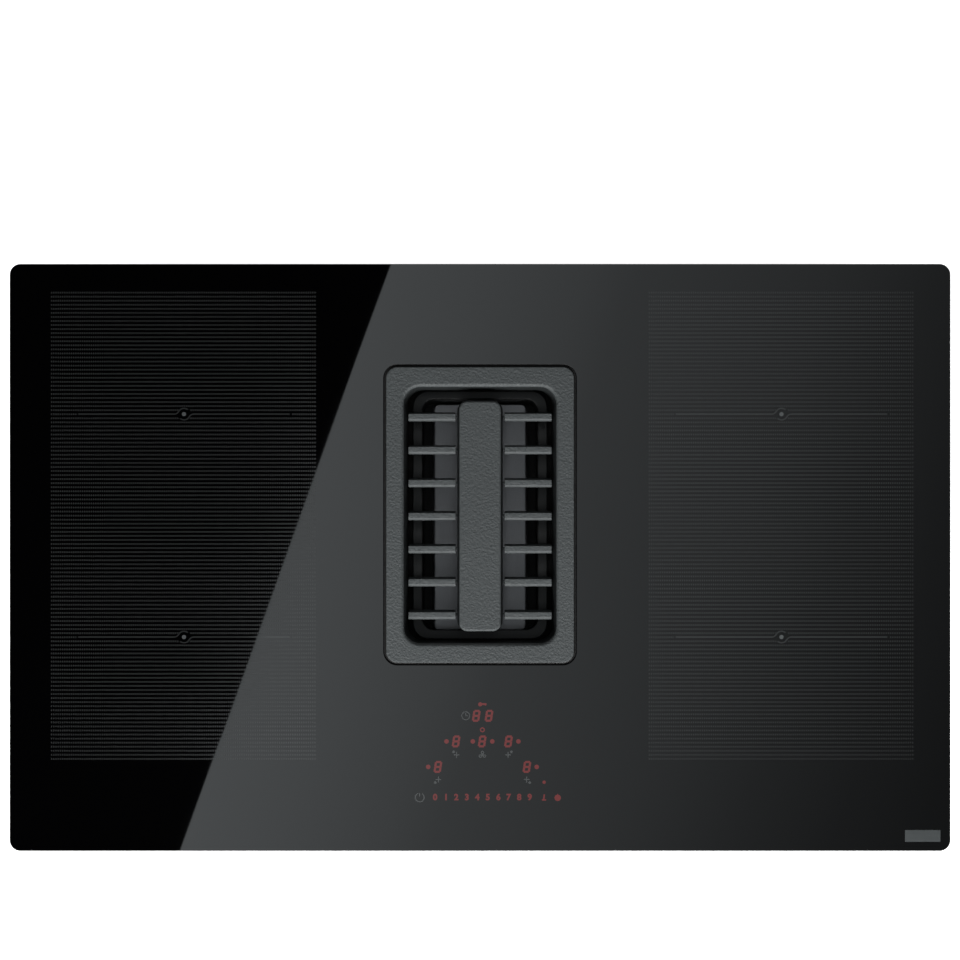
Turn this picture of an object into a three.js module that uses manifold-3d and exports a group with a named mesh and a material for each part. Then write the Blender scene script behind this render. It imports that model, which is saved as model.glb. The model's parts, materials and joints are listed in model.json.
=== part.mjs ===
// Downdraft induction cooktop: a glass hob on a steel casing, with a suction well in the middle,
// a filter basket under a lift-off grille, and a centrifugal fan housing hung below.
// Millimetres. +X to the cook's right, +Y to the rear, +Z up.
// The origin is under the middle of the glass, on the flat underside of the fan housing.

import * as THREE from 'three';
import { mergeVertices } from 'three/addons/utils/BufferGeometryUtils.js';
import Module from 'manifold-3d';

const wasm = await Module();
wasm.setup();

// ---------------------------------------------------------------------------
// Driving dimensions
// ---------------------------------------------------------------------------

const touch = 0.3;               // gap left between pieces that touch
const overcut = 2;               // how far a cutting solid runs past the face it opens

// Glass
const glassWidth = 830;
const glassDepth = 518;
const glassThickness = 4;
const glassCornerRadius = 9.5;
const glassBevel = 0.5;

// Worktop cut-out that the casing drops into
const rimOverlapX = 11.5;        // glass lying on the worktop at each side
const rimOverlapY = 13;          // the same at the front and the rear
const rimGasketWidth = 8;
const rimGasketThickness = 2;
const rimGasketInset = 1;

// Steel casing
const casingHeight = 60;
const casingSheet = 1;
const casingGapX = 3.5;          // to the worktop's cut edge
const casingGapY = 4;
const casingCornerRadius = 8;
const casingFlange = 9;          // inward fold that the glass is bonded to
const ventSlotWidth = 4;
const ventSlotLength = 34;
const ventSlotPitch = 9;
const ventSlotCount = 10;        // in each group
const ventRise = 18;             // from the casing floor to a wall slot

// Suction well
const wellOffsetY = 37.7;        // centre of the well behind the centre of the glass
const frameWidth = 165.8;
const frameDepth = 260.8;
const frameCornerRadius = 10;
const frameThickness = 5;
const frameBevel = 0.8;
const frameJoint = 2.2;          // silicone-filled joint between frame and glass
const frameJointDrop = 1.2;      // silicone below the glass surface
const frameFaceX = 16.5;         // frame's edge to the mouth, at each side
const frameFaceY = 17.2;         // the same at the front and the rear
const mouthCornerRadius = 14.5;
const mouthLipRadius = 3.5;
const mouthWall = 3;
const mouthSkirt = 18;           // skirt below the frame's plate

// Moulded duct that lines the well
const ductSheet = 1.5;
const ductSlack = 1.6;           // between the mouth's skirt and the duct
const ductFlange = 24;
const ductSpigot = 14;           // length that reaches down past the basket seat's level into the plenum

// Filter basket
const basketDrop = 36;           // from the glass surface to the basket's rim
const rimGapX = 6.2;             // between the basket's rim and the mouth, at each side
const rimGapY = 2;
const rimStripX = 8.9;           // width of the basket's rim, at each side
const rimStripY = 8.5;
const rimCornerRadius = 14;
const rimThickness = 2.5;
const basketWall = 2;
const basketCornerRadius = 10;
const basketLip = 6;             // inward fold that carries the filter mesh
const basketSlack = 2.6;         // between the basket and the duct around it
const basketFloorGap = 6;        // between the basket and the fan inlet
const meshThickness = 10;
const meshSlotCount = 9;
const meshSlotWidth = 5;

// Drip tray inside the basket
const trayDrop = 55;             // from the glass surface to the tray's rim
const traySlot = 9.1;            // open slot between the tray and the basket, at each side
const trayFrontGap = 0.5;
const trayRearGap = 2.4;
const trayHeight = 6;
const traySheet = 1;
const trayCornerRadius = 6;
const trayLedge = 7;
const trayLedgeWidth = 52;

// Grille
const spineWidth = 37.6;
const spineFrontGap = 10.1;      // between the spine's front end and the mouth
const spineRearGap = 12.4;
const spineHeight = 24;
const spineCornerRadius = 7.5;
const spineDraft = 2.8;
const spineDraftHeight = 8;      // the draft's reach down from the top and up from the bottom
const spineDrop = 2;             // below the glass surface
const finPairs = 7;
const finRowMargin = 25.4;       // between the mouth's end and the middle of the last fin, on average
const finTipGap = 2.8;           // between a fin's tip and the mouth
const finThickness = 7.2;
const finHeight = 14;
const finDrop = 4;               // fin tops below the spine's top
const finChamfer = 2.3;
const finDraft = 1;
const footLength = 7;
const footInset = 1.2;           // between a foot and the basket rim's inner edge
const footThickness = 5.6;

// Plenum below the casing
const plenumHeight = 51.7;
const plenumWall = 2;
const plenumMargin = 26;         // plenum beyond the duct, on every side
const plenumFlange = 12;
const plenumCornerRadius = 24;

// Fan inlet
const inletThroatRadius = 62;
const inletLipRadius = 9;
const inletSheet = 2;
const inletFlange = 6;

// Impeller and motor
const impellerRadius = 92;
const bladeRootRadius = 71;
const bladeCount = 26;
const bladeThickness = 1.6;
const bladeSweep = 16;           // degrees that a blade leans forward between root and tip
const impellerSheet = 2;
const impellerTopGap = 9;        // between the impeller's top ring and the housing cover
const impellerFloorGap = 9;
const impellerRingHeight = 4;
const motorRadius = 40;
const motorCanHeight = 30;
const motorCanWall = 2.5;
const motorAirGap = 1.5;
const statorPoles = 9;
const statorHeight = 18;
const shaftRadius = 4;
const bearingRadius = 8;
const bearingHeight = 6;
const bearingTubeWall = 3;
const motorBaseThickness = 2.5;
const motorBaseRadius = 46;
const grommetRadius = 6;
const grommetHeight = 4;
const grommetCount = 3;

// Fan housing (scroll) and outlet
const outletWidth = 222;
const outletHeight = 89;
const outletWall = 2;
const outletCollarLength = 46;
const outletFlange = 2.2;
const housingWall = 2.5;
const scrollStartRadius = 104;
const scrollEndRadius = 150;
const scrollStartAngle = 75;     // degrees from +X to the scroll's tongue
const scrollRun = 160;           // from the fan's axis to the outlet's flange
const lugRadius = 7;
const lugAngles = [120, 190, 250, 310];
const lugHeight = 10;

// Induction coils, two behind one another on each side
const coilWidth = 226;
const coilDepth = 188;
const coilCornerRadius = 46;
const coilEyeWidth = 84;
const coilEyeDepth = 46;
const coilEyeRadius = 20;
const coilThickness = 4.5;
const coilSpacing = 8.7;         // between the front and the rear coil
const coilMarginX = 22.4;        // between a coil and the casing's side
const coilMarginRear = 20.5;
const coilShiftX = 2.3;          // both pairs of coils sit this far to the right
const micaThickness = 0.8;
const carrierThickness = 1.5;
const carrierLegSize = 9;
const carrierLegInset = 4;
const ferriteThickness = 4;
const ferriteBarWidth = 14;
const ferriteHubRadius = 30;
const ferriteHubBore = 14;
const sensorRadius = 7;
const sensorStemRadius = 3.5;
const sensorHeadHeight = 5;

// Electronics under the coils
const boardClearance = 12;       // between a power board and the coil carriers' legs
const boardDepth = 262;
const boardThickness = 1.6;
const boardStandoff = 8;
const standoffRadius = 3;
const standoffInset = 10;
const heatSinkWidth = 62;
const heatSinkDepth = 190;
const heatSinkBase = 4;
const heatSinkHeight = 24;
const heatSinkFinCount = 9;
const heatSinkFinThickness = 1.6;
const capacitorRadius = 11;
const capacitorHeight = 22;
const chokeRadius = 17;
const chokeHeight = 18;

// Cooling fans behind the power boards
const coolerSize = 92;
const coolerHeight = 26;
const coolerWall = 2;
const coolerGap = 7;             // between a cooling fan and its power board
const coolerRotorGap = 4;
const coolerHubRadius = 17;
const coolerBladeCount = 11;
const coolerBladeThickness = 2;
const coolerPinRadius = 2;

// Touch control
const touchWidth = 146;
const touchDepth = 100;
const touchShiftX = 7;
const touchFromFront = 40;       // from the glass's front edge to the touch board
const touchPan = 14;
const touchSheet = 2;
const touchBoardThickness = 1.6;
const displayHeight = 1.6;
const displaySize = 12;
const touchLegSize = 10;

// Mains connection
const terminalWidth = 110;
const terminalDepth = 62;
const terminalHeight = 32;
const terminalWall = 2;
const terminalLidThickness = 2;
const terminalMarginRight = 110;
const terminalMarginRear = 14;
const terminalBlockWidth = 64;
const terminalBlockDepth = 20;
const terminalBlockHeight = 16;
const glandRadius = 11;
const glandBore = 6;
const glandLength = 16;
const glandNeck = 6;

// Clips that hold the casing in the cut-out
const clipWidth = 22;
const clipSheet = 0.8;
const clipHeight = 40;
const clipBow = 3;
const clipFromEdge = 90;         // from the casing's front or rear to a clip
const clipRise = 10;             // from the casing floor to a clip

// ---------------------------------------------------------------------------
// Levels and outlines that follow from them
// ---------------------------------------------------------------------------

const housingHeight = outletHeight + 2 * outletFlange;
const housingSplitZ = housingHeight / 2;
const plenumFloorZ = housingHeight + touch;
const plenumTopZ = plenumFloorZ + plenumHeight;
const casingFloorZ = plenumTopZ + touch;
const casingTopZ = casingFloorZ + casingHeight;
const glassUnderZ = casingTopZ + touch;
const glassTopZ = glassUnderZ + glassThickness;

const cutoutWidth = glassWidth - 2 * rimOverlapX;
const cutoutDepth = glassDepth - 2 * rimOverlapY;
const casingWidth = cutoutWidth - 2 * casingGapX;
const casingDepth = cutoutDepth - 2 * casingGapY;
const casingInnerX = casingWidth / 2 - casingSheet;
const casingInnerY = casingDepth / 2 - casingSheet;
const casingDeckZ = casingFloorZ + casingSheet;

const frameTopZ = glassUnderZ + frameThickness;
const mouthWidth = frameWidth - 2 * frameFaceX;
const mouthDepth = frameDepth - 2 * frameFaceY;
const ductTopZ = glassUnderZ - touch;
const ductWidth = mouthWidth + 2 * (mouthWall + ductSlack);
const ductDepth = mouthDepth + 2 * (mouthWall + ductSlack);
const ductRadius = mouthCornerRadius + mouthWall + ductSlack;
const rimTopZ = glassTopZ - basketDrop;
const rimWidth = mouthWidth - 2 * rimGapX;
const rimDepth = mouthDepth - 2 * rimGapY;
const basketInnerWidth = rimWidth - 2 * rimStripX;
const basketInnerDepth = rimDepth - 2 * rimStripY;
const seatTopZ = rimTopZ - rimThickness - touch;
const basketWidth = basketInnerWidth + 2 * basketWall;
const basketDepth = basketInnerDepth + 2 * basketWall;
const spigotWidth = basketWidth + 2 * basketSlack;
const spigotDepth = basketDepth + 2 * basketSlack;
const spigotRadius = basketCornerRadius + basketWall + basketSlack;
const spigotBottomZ = casingFloorZ - ductSpigot;

const plenumWidth = spigotWidth + 2 * plenumMargin;
const plenumDepth = spigotDepth + 2 * plenumMargin;
const inletTopZ = plenumFloorZ + plenumWall + touch + inletSheet + inletLipRadius;
const inletBottomZ = housingHeight - impellerTopGap;
const basketBottomZ = inletTopZ + basketFloorGap;
const meshBottomZ = basketBottomZ + basketWall + touch;

const spineDepth = mouthDepth - spineFrontGap - spineRearGap;
const grilleOffsetY = wellOffsetY + (spineFrontGap - spineRearGap) / 2;
const finReach = mouthWidth / 2 - finTipGap;
const finPitch = (mouthDepth - 2 * finRowMargin) / (finPairs - 1);
const spineTopZ = glassTopZ - spineDrop;
const spineBottomZ = spineTopZ - spineHeight;
const finTopZ = spineTopZ - finDrop;
const finBottomZ = finTopZ - finHeight;

const trayWidth = basketInnerWidth - 2 * traySlot;
const trayDepth = basketInnerDepth - trayFrontGap - trayRearGap;
const trayOffsetY = wellOffsetY + (trayFrontGap - trayRearGap) / 2;
const trayTopZ = glassTopZ - trayDrop;
const trayBottomZ = trayTopZ - trayHeight;

const impellerTopZ = housingHeight - housingWall - impellerTopGap;
const impellerBottomZ = housingWall + impellerFloorGap;
const motorBaseZ = housingWall + touch + grommetHeight + touch;
const canBottomZ = impellerBottomZ + impellerSheet + touch;
const canTopZ = canBottomZ + motorCanHeight;
const domeTopZ = canTopZ + touch + impellerSheet;
const shaftTopZ = domeTopZ + impellerSheet;
const shaftBottomZ = motorBaseZ + motorBaseThickness + touch;
const bearingTubeRadius = bearingRadius + touch + bearingTubeWall;
const bearingTubeTopZ = canTopZ - motorCanWall - motorAirGap;

const coilTopZ = glassUnderZ - touch - micaThickness - touch;
const coilBottomZ = coilTopZ - coilThickness;
const carrierTopZ = coilBottomZ - touch;
const carrierBottomZ = carrierTopZ - carrierThickness;
const ferriteTopZ = carrierBottomZ - touch;
const ferriteBottomZ = ferriteTopZ - ferriteThickness;
const coilPitch = coilDepth + coilSpacing;
const rearCoilY = casingInnerY - coilMarginRear - coilDepth / 2;
const frontCoilY = rearCoilY - coilPitch;
const coilColumnX = casingInnerX - coilMarginX - coilWidth / 2;

const boardWidth = coilWidth - 2 * (carrierLegInset + carrierLegSize + boardClearance);
const boardBottomZ = casingDeckZ + boardStandoff;
const boardTopZ = boardBottomZ + boardThickness;
const coolerY = casingInnerY - coilMarginRear - coolerSize / 2;
const boardY = coolerY - coolerSize / 2 - coolerGap - boardDepth / 2;
const coolerBottomZ = casingDeckZ + touch;

const touchY = -glassDepth / 2 + touchFromFront + touchDepth / 2;
const touchBoardTopZ = glassUnderZ - touch - displayHeight;
const touchBoardBottomZ = touchBoardTopZ - touchBoardThickness;
const touchPanBottomZ = touchBoardBottomZ - touch - touchPan;

const terminalTopZ = casingFloorZ - touch;
const terminalX = casingWidth / 2 - terminalMarginRight - terminalWidth / 2;
const terminalY = casingDepth / 2 - terminalMarginRear - terminalDepth / 2;
const terminalBottomZ = terminalTopZ - terminalHeight;

// ---------------------------------------------------------------------------
// Solids: a closed mesh and the ways to join and cut it
// ---------------------------------------------------------------------------

const smallestLength = 1e-4;
const cornerSteps = 2;
const roundSteps = 24;
const pinSteps = 12;
const scrollSteps = 28;

function radians(degrees) {
  return THREE.MathUtils.degToRad(degrees);
}

function welded(geometry) {
  const bare = geometry.clone();
  bare.deleteAttribute('normal');
  bare.deleteAttribute('uv');
  const merged = mergeVertices(bare, smallestLength);
  const corners = merged.index.array;
  const kept = [];
  for (let i = 0; i < corners.length; i += 3) {
    const [a, b, c] = corners.slice(i, i + 3);
    if (a !== b && b !== c && c !== a) {
      kept.push(a, b, c);
    }
  }
  merged.setIndex(kept);
  return merged;
}

function solidOf(geometry) {
  const mesh = welded(geometry);
  return new wasm.Manifold(new wasm.Mesh({
    numProp: 3,
    vertProperties: new Float32Array(mesh.attributes.position.array),
    triVerts: new Uint32Array(mesh.index.array),
  }));
}

function geometryOf(solid) {
  const mesh = solid.getMesh();
  const geometry = new THREE.BufferGeometry();
  geometry.setAttribute('position', new THREE.BufferAttribute(mesh.vertProperties, 3));
  geometry.setIndex(new THREE.BufferAttribute(mesh.triVerts, 1));
  return geometry;
}

function join(...pieces) {
  let whole = solidOf(pieces[0]);
  for (const piece of pieces.slice(1)) {
    whole = whole.add(solidOf(piece));
  }
  return geometryOf(whole);
}

function cut(body, ...tools) {
  let rest = solidOf(body);
  for (const tool of tools) {
    rest = rest.subtract(solidOf(tool));
  }
  return geometryOf(rest);
}

// ---------------------------------------------------------------------------
// Basic forms
// ---------------------------------------------------------------------------

function traceRoundedRect(path, width, depth, radius) {
  const x = width / 2 - radius;
  const y = depth / 2 - radius;
  path.moveTo(x + radius, -y);
  path.lineTo(x + radius, y);
  path.absarc(x, y, radius, 0, Math.PI / 2);
  path.lineTo(-x, y + radius);
  path.absarc(-x, y, radius, Math.PI / 2, Math.PI);
  path.lineTo(-x - radius, -y);
  path.absarc(-x, -y, radius, Math.PI, 1.5 * Math.PI);
  path.lineTo(x, -y - radius);
  path.absarc(x, -y, radius, 1.5 * Math.PI, 2 * Math.PI);
  return path;
}

function roundedRect(width, depth, radius) {
  return traceRoundedRect(new THREE.Shape(), width, depth, radius);
}

// A slab of an outline between two levels, its edges rounded over by bevel.
function slab(shape, bottom, top, bevel = 0, bevelSteps = 1) {
  const geometry = new THREE.ExtrudeGeometry(shape, {
    depth: top - bottom - 2 * bevel,
    steps: 1,
    curveSegments: cornerSteps,
    bevelEnabled: bevel > 0,
    bevelThickness: bevel,
    bevelSize: bevel,
    bevelOffset: -bevel,
    bevelSegments: bevelSteps,
  });
  return geometry.translate(0, 0, bottom + bevel);
}

function roundedSlab(width, depth, radius, bottom, top, bevel = 0, bevelSteps = 1) {
  return slab(roundedRect(width, depth, radius), bottom, top, bevel, bevelSteps);
}

// A rectangular ring: its inner outline runs parallel to the outer one.
function ringSlab(width, depth, radius, wall, bottom, top, bevel = 0, bevelSteps = 1) {
  const shape = roundedRect(width, depth, radius);
  const innerRadius = Math.max(radius - wall, wall / 2);
  shape.holes.push(traceRoundedRect(new THREE.Path(), width - 2 * wall, depth - 2 * wall, innerRadius));
  return slab(shape, bottom, top, bevel, bevelSteps);
}

// A ring whose inner outline has sizes of its own.
function windowSlab(outer, inner, bottom, top, bevel = 0, bevelSteps = 1) {
  const shape = roundedRect(outer.width, outer.depth, outer.radius);
  shape.holes.push(traceRoundedRect(new THREE.Path(), inner.width, inner.depth, inner.radius));
  return slab(shape, bottom, top, bevel, bevelSteps);
}

function block(width, depth, bottom, top, x = 0, y = 0) {
  const geometry = new THREE.BoxGeometry(width, depth, top - bottom);
  return geometry.translate(x, y, (bottom + top) / 2);
}

function post(radius, bottom, top, x = 0, y = 0, steps = pinSteps) {
  const geometry = new THREE.CylinderGeometry(radius, radius, top - bottom, steps);
  geometry.rotateX(Math.PI / 2);
  return geometry.translate(x, y, (bottom + top) / 2);
}

// A solid of revolution about Z from [radius, level] points, listed anticlockwise with radius to the right.
function turned(profile, steps = roundSteps) {
  const points = profile.map(([radius, level]) => new THREE.Vector2(radius, level));
  points.push(points[0].clone());
  return new THREE.LatheGeometry(points, steps).rotateX(Math.PI / 2);
}

function tube(outerRadius, innerRadius, bottom, top, steps = roundSteps) {
  const section = [[innerRadius, bottom], [outerRadius, bottom], [outerRadius, top], [innerRadius, top]];
  return turned(section, steps);
}

const materials = {
  glass: { color: 0x050505, roughness: 0.04, metalness: 0 },
  castIron: { color: 0x45484a, roughness: 0.55, metalness: 0.3 },
  stainless: { color: 0x8a8d90, roughness: 0.35, metalness: 1 },
  zincSteel: { color: 0x9da1a3, roughness: 0.45, metalness: 0.9 },
  rubber: { color: 0x101010, roughness: 0.8, metalness: 0 },
  blackPlastic: { color: 0x17181a, roughness: 0.5, metalness: 0 },
  greyPlastic: { color: 0x56595c, roughness: 0.5, metalness: 0 },
  whitePlastic: { color: 0xd8d8d4, roughness: 0.5, metalness: 0 },
  aluminium: { color: 0xb4b8ba, roughness: 0.4, metalness: 1 },
  copper: { color: 0xa8673c, roughness: 0.4, metalness: 1 },
  ferrite: { color: 0x2b2c2e, roughness: 0.6, metalness: 0.1 },
  mica: { color: 0xb9a681, roughness: 0.6, metalness: 0 },
  circuitBoard: { color: 0x1f5a35, roughness: 0.5, metalness: 0 },
};

const cooktop = new THREE.Group();

function add(name, geometry, material, x = 0, y = 0) {
  const mesh = new THREE.Mesh(geometry, new THREE.MeshStandardMaterial(materials[material]));
  mesh.name = name;
  mesh.position.set(x, y, 0);
  cooktop.add(mesh);
  return mesh;
}

// ---------------------------------------------------------------------------
// Glass and its seals
// ---------------------------------------------------------------------------

const glassOpening = {
  width: frameWidth + 2 * frameJoint,
  depth: frameDepth + 2 * frameJoint,
  radius: frameCornerRadius + frameJoint,
};

function glassPanel() {
  const panel = roundedSlab(glassWidth, glassDepth, glassCornerRadius, glassUnderZ, glassTopZ, glassBevel);
  const opening = roundedSlab(
    glassOpening.width,
    glassOpening.depth,
    glassOpening.radius,
    glassUnderZ - overcut,
    glassTopZ + overcut,
  );
  return cut(panel, opening.translate(0, wellOffsetY, 0));
}

function rimGasket() {
  const top = glassUnderZ - touch;
  return ringSlab(
    glassWidth - 2 * rimGasketInset,
    glassDepth - 2 * rimGasketInset,
    glassCornerRadius,
    rimGasketWidth,
    top - rimGasketThickness,
    top,
  );
}

function wellGasket() {
  return ringSlab(
    glassOpening.width - 2 * touch,
    glassOpening.depth - 2 * touch,
    glassOpening.radius,
    frameJoint - 2 * touch,
    glassUnderZ,
    glassTopZ - frameJointDrop,
  );
}

// ---------------------------------------------------------------------------
// Suction well: frame, duct, basket, tray and grille
// ---------------------------------------------------------------------------

function inletFrame() {
  const plate = windowSlab(
    { width: frameWidth, depth: frameDepth, radius: frameCornerRadius },
    {
      width: mouthWidth + 2 * mouthLipRadius,
      depth: mouthDepth + 2 * mouthLipRadius,
      radius: mouthCornerRadius + mouthLipRadius,
    },
    glassUnderZ,
    frameTopZ,
    frameBevel,
  );
  const skirtOuter = mouthWall + mouthLipRadius;
  const lip = windowSlab(
    {
      width: mouthWidth + 2 * (skirtOuter + mouthLipRadius),
      depth: mouthDepth + 2 * (skirtOuter + mouthLipRadius),
      radius: mouthCornerRadius + skirtOuter,
    },
    { width: mouthWidth, depth: mouthDepth, radius: mouthCornerRadius },
    glassUnderZ + frameBevel,
    frameTopZ,
    frameThickness / 2 - frameBevel / 2 - touch,
    3,
  );
  const skirt = ringSlab(
    mouthWidth + 2 * mouthWall,
    mouthDepth + 2 * mouthWall,
    mouthCornerRadius + mouthWall,
    mouthWall,
    glassUnderZ - mouthSkirt,
    glassUnderZ + frameThickness / 2,
  );
  return join(plate, lip, skirt);
}

function wellDuct() {
  const collar = ringSlab(
    ductWidth + 2 * ductSheet,
    ductDepth + 2 * ductSheet,
    ductRadius + ductSheet,
    ductSheet,
    seatTopZ - ductSheet,
    ductTopZ,
  );
  const flange = windowSlab(
    {
      width: ductWidth + 2 * ductFlange,
      depth: ductDepth + 2 * ductFlange,
      radius: ductRadius + ductFlange,
    },
    { width: ductWidth, depth: ductDepth, radius: ductRadius },
    ductTopZ - ductSheet,
    ductTopZ,
  );
  const seat = windowSlab(
    { width: ductWidth + ductSheet, depth: ductDepth + ductSheet, radius: ductRadius },
    { width: spigotWidth, depth: spigotDepth, radius: spigotRadius },
    seatTopZ - ductSheet,
    seatTopZ,
  );
  const spigot = ringSlab(
    spigotWidth + 2 * ductSheet,
    spigotDepth + 2 * ductSheet,
    spigotRadius + ductSheet,
    ductSheet,
    spigotBottomZ,
    seatTopZ,
  );
  return join(collar, flange, seat, spigot);
}

function filterBasket() {
  const rim = windowSlab(
    { width: rimWidth, depth: rimDepth, radius: rimCornerRadius },
    { width: basketInnerWidth, depth: basketInnerDepth, radius: basketCornerRadius },
    rimTopZ - rimThickness,
    rimTopZ,
  );
  const walls = ringSlab(
    basketWidth,
    basketDepth,
    basketCornerRadius + basketWall,
    basketWall,
    basketBottomZ,
    rimTopZ,
  );
  const lip = ringSlab(
    basketWidth,
    basketDepth,
    basketCornerRadius + basketWall,
    basketWall + basketLip,
    basketBottomZ,
    basketBottomZ + basketWall,
  );
  const ledgeY = basketInnerDepth / 2 - trayLedge / 2 + basketWall / 2;
  const ledgeTop = trayBottomZ - touch;
  const ledges = [-1, 1].map((end) => block(
    trayLedgeWidth,
    trayLedge + basketWall,
    ledgeTop - basketWall,
    ledgeTop,
    0,
    end * ledgeY,
  ));
  return join(rim, walls, lip, ...ledges);
}

function filterMesh() {
  const width = basketInnerWidth - 2 * touch;
  const depth = basketInnerDepth - 2 * touch;
  const radius = basketCornerRadius - touch;
  const top = meshBottomZ + meshThickness;
  const panel = roundedSlab(width, depth, radius, meshBottomZ, top);
  const slotPitch = (depth - 2 * basketLip) / meshSlotCount;
  const slots = [];
  for (let i = 0; i < meshSlotCount; i += 1) {
    const y = (i - (meshSlotCount - 1) / 2) * slotPitch;
    const slotWidth = width - 2 * (basketLip + basketWall);
    slots.push(block(slotWidth, meshSlotWidth, meshBottomZ - overcut, top + overcut, 0, y));
  }
  return cut(panel, ...slots);
}

function dripTray() {
  const body = roundedSlab(trayWidth, trayDepth, trayCornerRadius, trayBottomZ, trayTopZ);
  const hollow = roundedSlab(
    trayWidth - 2 * traySheet,
    trayDepth - 2 * traySheet,
    trayCornerRadius - traySheet,
    trayBottomZ + traySheet,
    trayTopZ + overcut,
  );
  return cut(body, hollow);
}

// One fin: a bar along X whose front top edge is chamfered and whose rear side has draft.
function fin(side, y) {
  const half = finThickness / 2;
  const profile = new THREE.Shape();
  profile.moveTo(-half, finBottomZ);
  profile.lineTo(half, finBottomZ);
  profile.lineTo(half, finTopZ - finHeight / 2);
  profile.lineTo(half - finDraft, finTopZ);
  profile.lineTo(-half + finChamfer, finTopZ);
  profile.lineTo(-half, finTopZ - finChamfer);
  const root = spineWidth / 4;
  const bar = new THREE.ExtrudeGeometry(profile, { depth: finReach - root, bevelEnabled: false });
  bar.rotateX(Math.PI / 2);
  bar.rotateZ(Math.PI / 2);
  return bar.translate(side > 0 ? root : -finReach, y, 0);
}

function grille() {
  const spine = new THREE.ExtrudeGeometry(roundedRect(spineWidth, spineDepth, spineCornerRadius), {
    depth: spineHeight - 2 * spineDraftHeight,
    curveSegments: cornerSteps,
    bevelThickness: spineDraftHeight,
    bevelSize: spineDraft,
    bevelSegments: 1,
  });
  spine.translate(0, 0, spineBottomZ + spineDraftHeight);
  const pieces = [spine];
  const middle = (finPairs - 1) / 2;
  const footX = basketInnerWidth / 2 + footInset + footLength / 2;
  for (let i = 0; i < finPairs; i += 1) {
    const y = (i - middle) * finPitch;
    const carriesFeet = i === 0 || i === middle || i === finPairs - 1;
    for (const side of [-1, 1]) {
      pieces.push(fin(side, y));
      if (carriesFeet) {
        const footTop = finBottomZ + finChamfer;
        pieces.push(block(footLength, footThickness, rimTopZ + touch, footTop, side * footX, y));
      }
    }
  }
  return join(...pieces);
}

// ---------------------------------------------------------------------------
// Casing
// ---------------------------------------------------------------------------

function ventGroup(count, pitch, makeSlot) {
  const slots = [];
  for (let i = 0; i < count; i += 1) {
    slots.push(makeSlot((i - (count - 1) / 2) * pitch));
  }
  return slots;
}

function casingTray() {
  const walls = ringSlab(
    casingWidth,
    casingDepth,
    casingCornerRadius,
    casingSheet,
    casingFloorZ,
    casingTopZ,
  );
  const deck = roundedSlab(casingWidth, casingDepth, casingCornerRadius, casingFloorZ, casingDeckZ);
  const flange = ringSlab(
    casingWidth,
    casingDepth,
    casingCornerRadius,
    casingFlange,
    casingTopZ - casingSheet,
    casingTopZ,
  );
  const wellHole = roundedSlab(
    spigotWidth + 2 * (ductSheet + touch),
    spigotDepth + 2 * (ductSheet + touch),
    spigotRadius + ductSheet + touch,
    casingFloorZ - overcut,
    casingDeckZ + overcut,
  ).translate(0, wellOffsetY, 0);
  const vents = [];
  for (const side of [-1, 1]) {
    const x = coilShiftX + side * coilColumnX;
    vents.push(...ventGroup(ventSlotCount - 2, ventSlotPitch, (shift) => block(
      coolerSize - 2 * coolerWall - ventSlotPitch,
      ventSlotWidth,
      casingFloorZ - overcut,
      casingDeckZ + overcut,
      x,
      coolerY + shift,
    )));
    vents.push(...ventGroup(ventSlotCount, ventSlotPitch, (shift) => block(
      ventSlotWidth,
      2 * overcut + casingSheet,
      casingDeckZ + ventRise,
      casingDeckZ + ventRise + ventSlotLength,
      x + shift,
      -casingInnerY,
    )));
  }
  return cut(join(walls, deck, flange), wellHole, ...vents);
}

function mountingClip(side) {
  const half = clipHeight / 2;
  const inner = clipBow - clipSheet;
  const profile = new THREE.Shape();
  profile.moveTo(0, -half);
  profile.lineTo(clipSheet, -half);
  profile.quadraticCurveTo(2 * inner, 0, clipSheet, half);
  profile.lineTo(0, half);
  profile.quadraticCurveTo(2 * inner - clipSheet, 0, 0, -half);
  const leaf = new THREE.ExtrudeGeometry(profile, {
    depth: clipWidth,
    curveSegments: 8,
    bevelEnabled: false,
  });
  leaf.translate(0, 0, -clipWidth / 2);
  leaf.rotateX(Math.PI / 2);
  if (side < 0) {
    leaf.rotateZ(Math.PI);
  }
  const x = side * (casingWidth / 2 + touch);
  return leaf.translate(x, 0, casingDeckZ + clipRise + half);
}

// ---------------------------------------------------------------------------
// Coils and electronics
// ---------------------------------------------------------------------------

function inductionCoil() {
  const width = coilWidth - 2 * carrierLegInset;
  const depth = coilDepth - 2 * carrierLegInset;
  return windowSlab(
    { width, depth, radius: coilCornerRadius },
    { width: coilEyeWidth, depth: coilEyeDepth, radius: coilEyeRadius },
    coilBottomZ,
    coilTopZ,
  );
}

function coilCarrier() {
  const plate = roundedSlab(coilWidth, coilDepth, carrierLegSize, carrierBottomZ, carrierTopZ);
  const legX = coilWidth / 2 - carrierLegInset - carrierLegSize / 2;
  const legY = coilDepth / 2 - carrierLegInset - carrierLegSize / 2;
  const legs = [];
  for (const [sideX, sideY] of [[-1, -1], [-1, 1], [1, -1], [1, 1]]) {
    legs.push(block(
      carrierLegSize,
      carrierLegSize,
      casingDeckZ + touch,
      carrierTopZ - carrierThickness / 2,
      sideX * legX,
      sideY * legY,
    ));
  }
  const sensorHole = post(sensorStemRadius + touch, carrierBottomZ - overcut, carrierTopZ + overcut);
  return cut(join(plate, ...legs), sensorHole);
}

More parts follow.
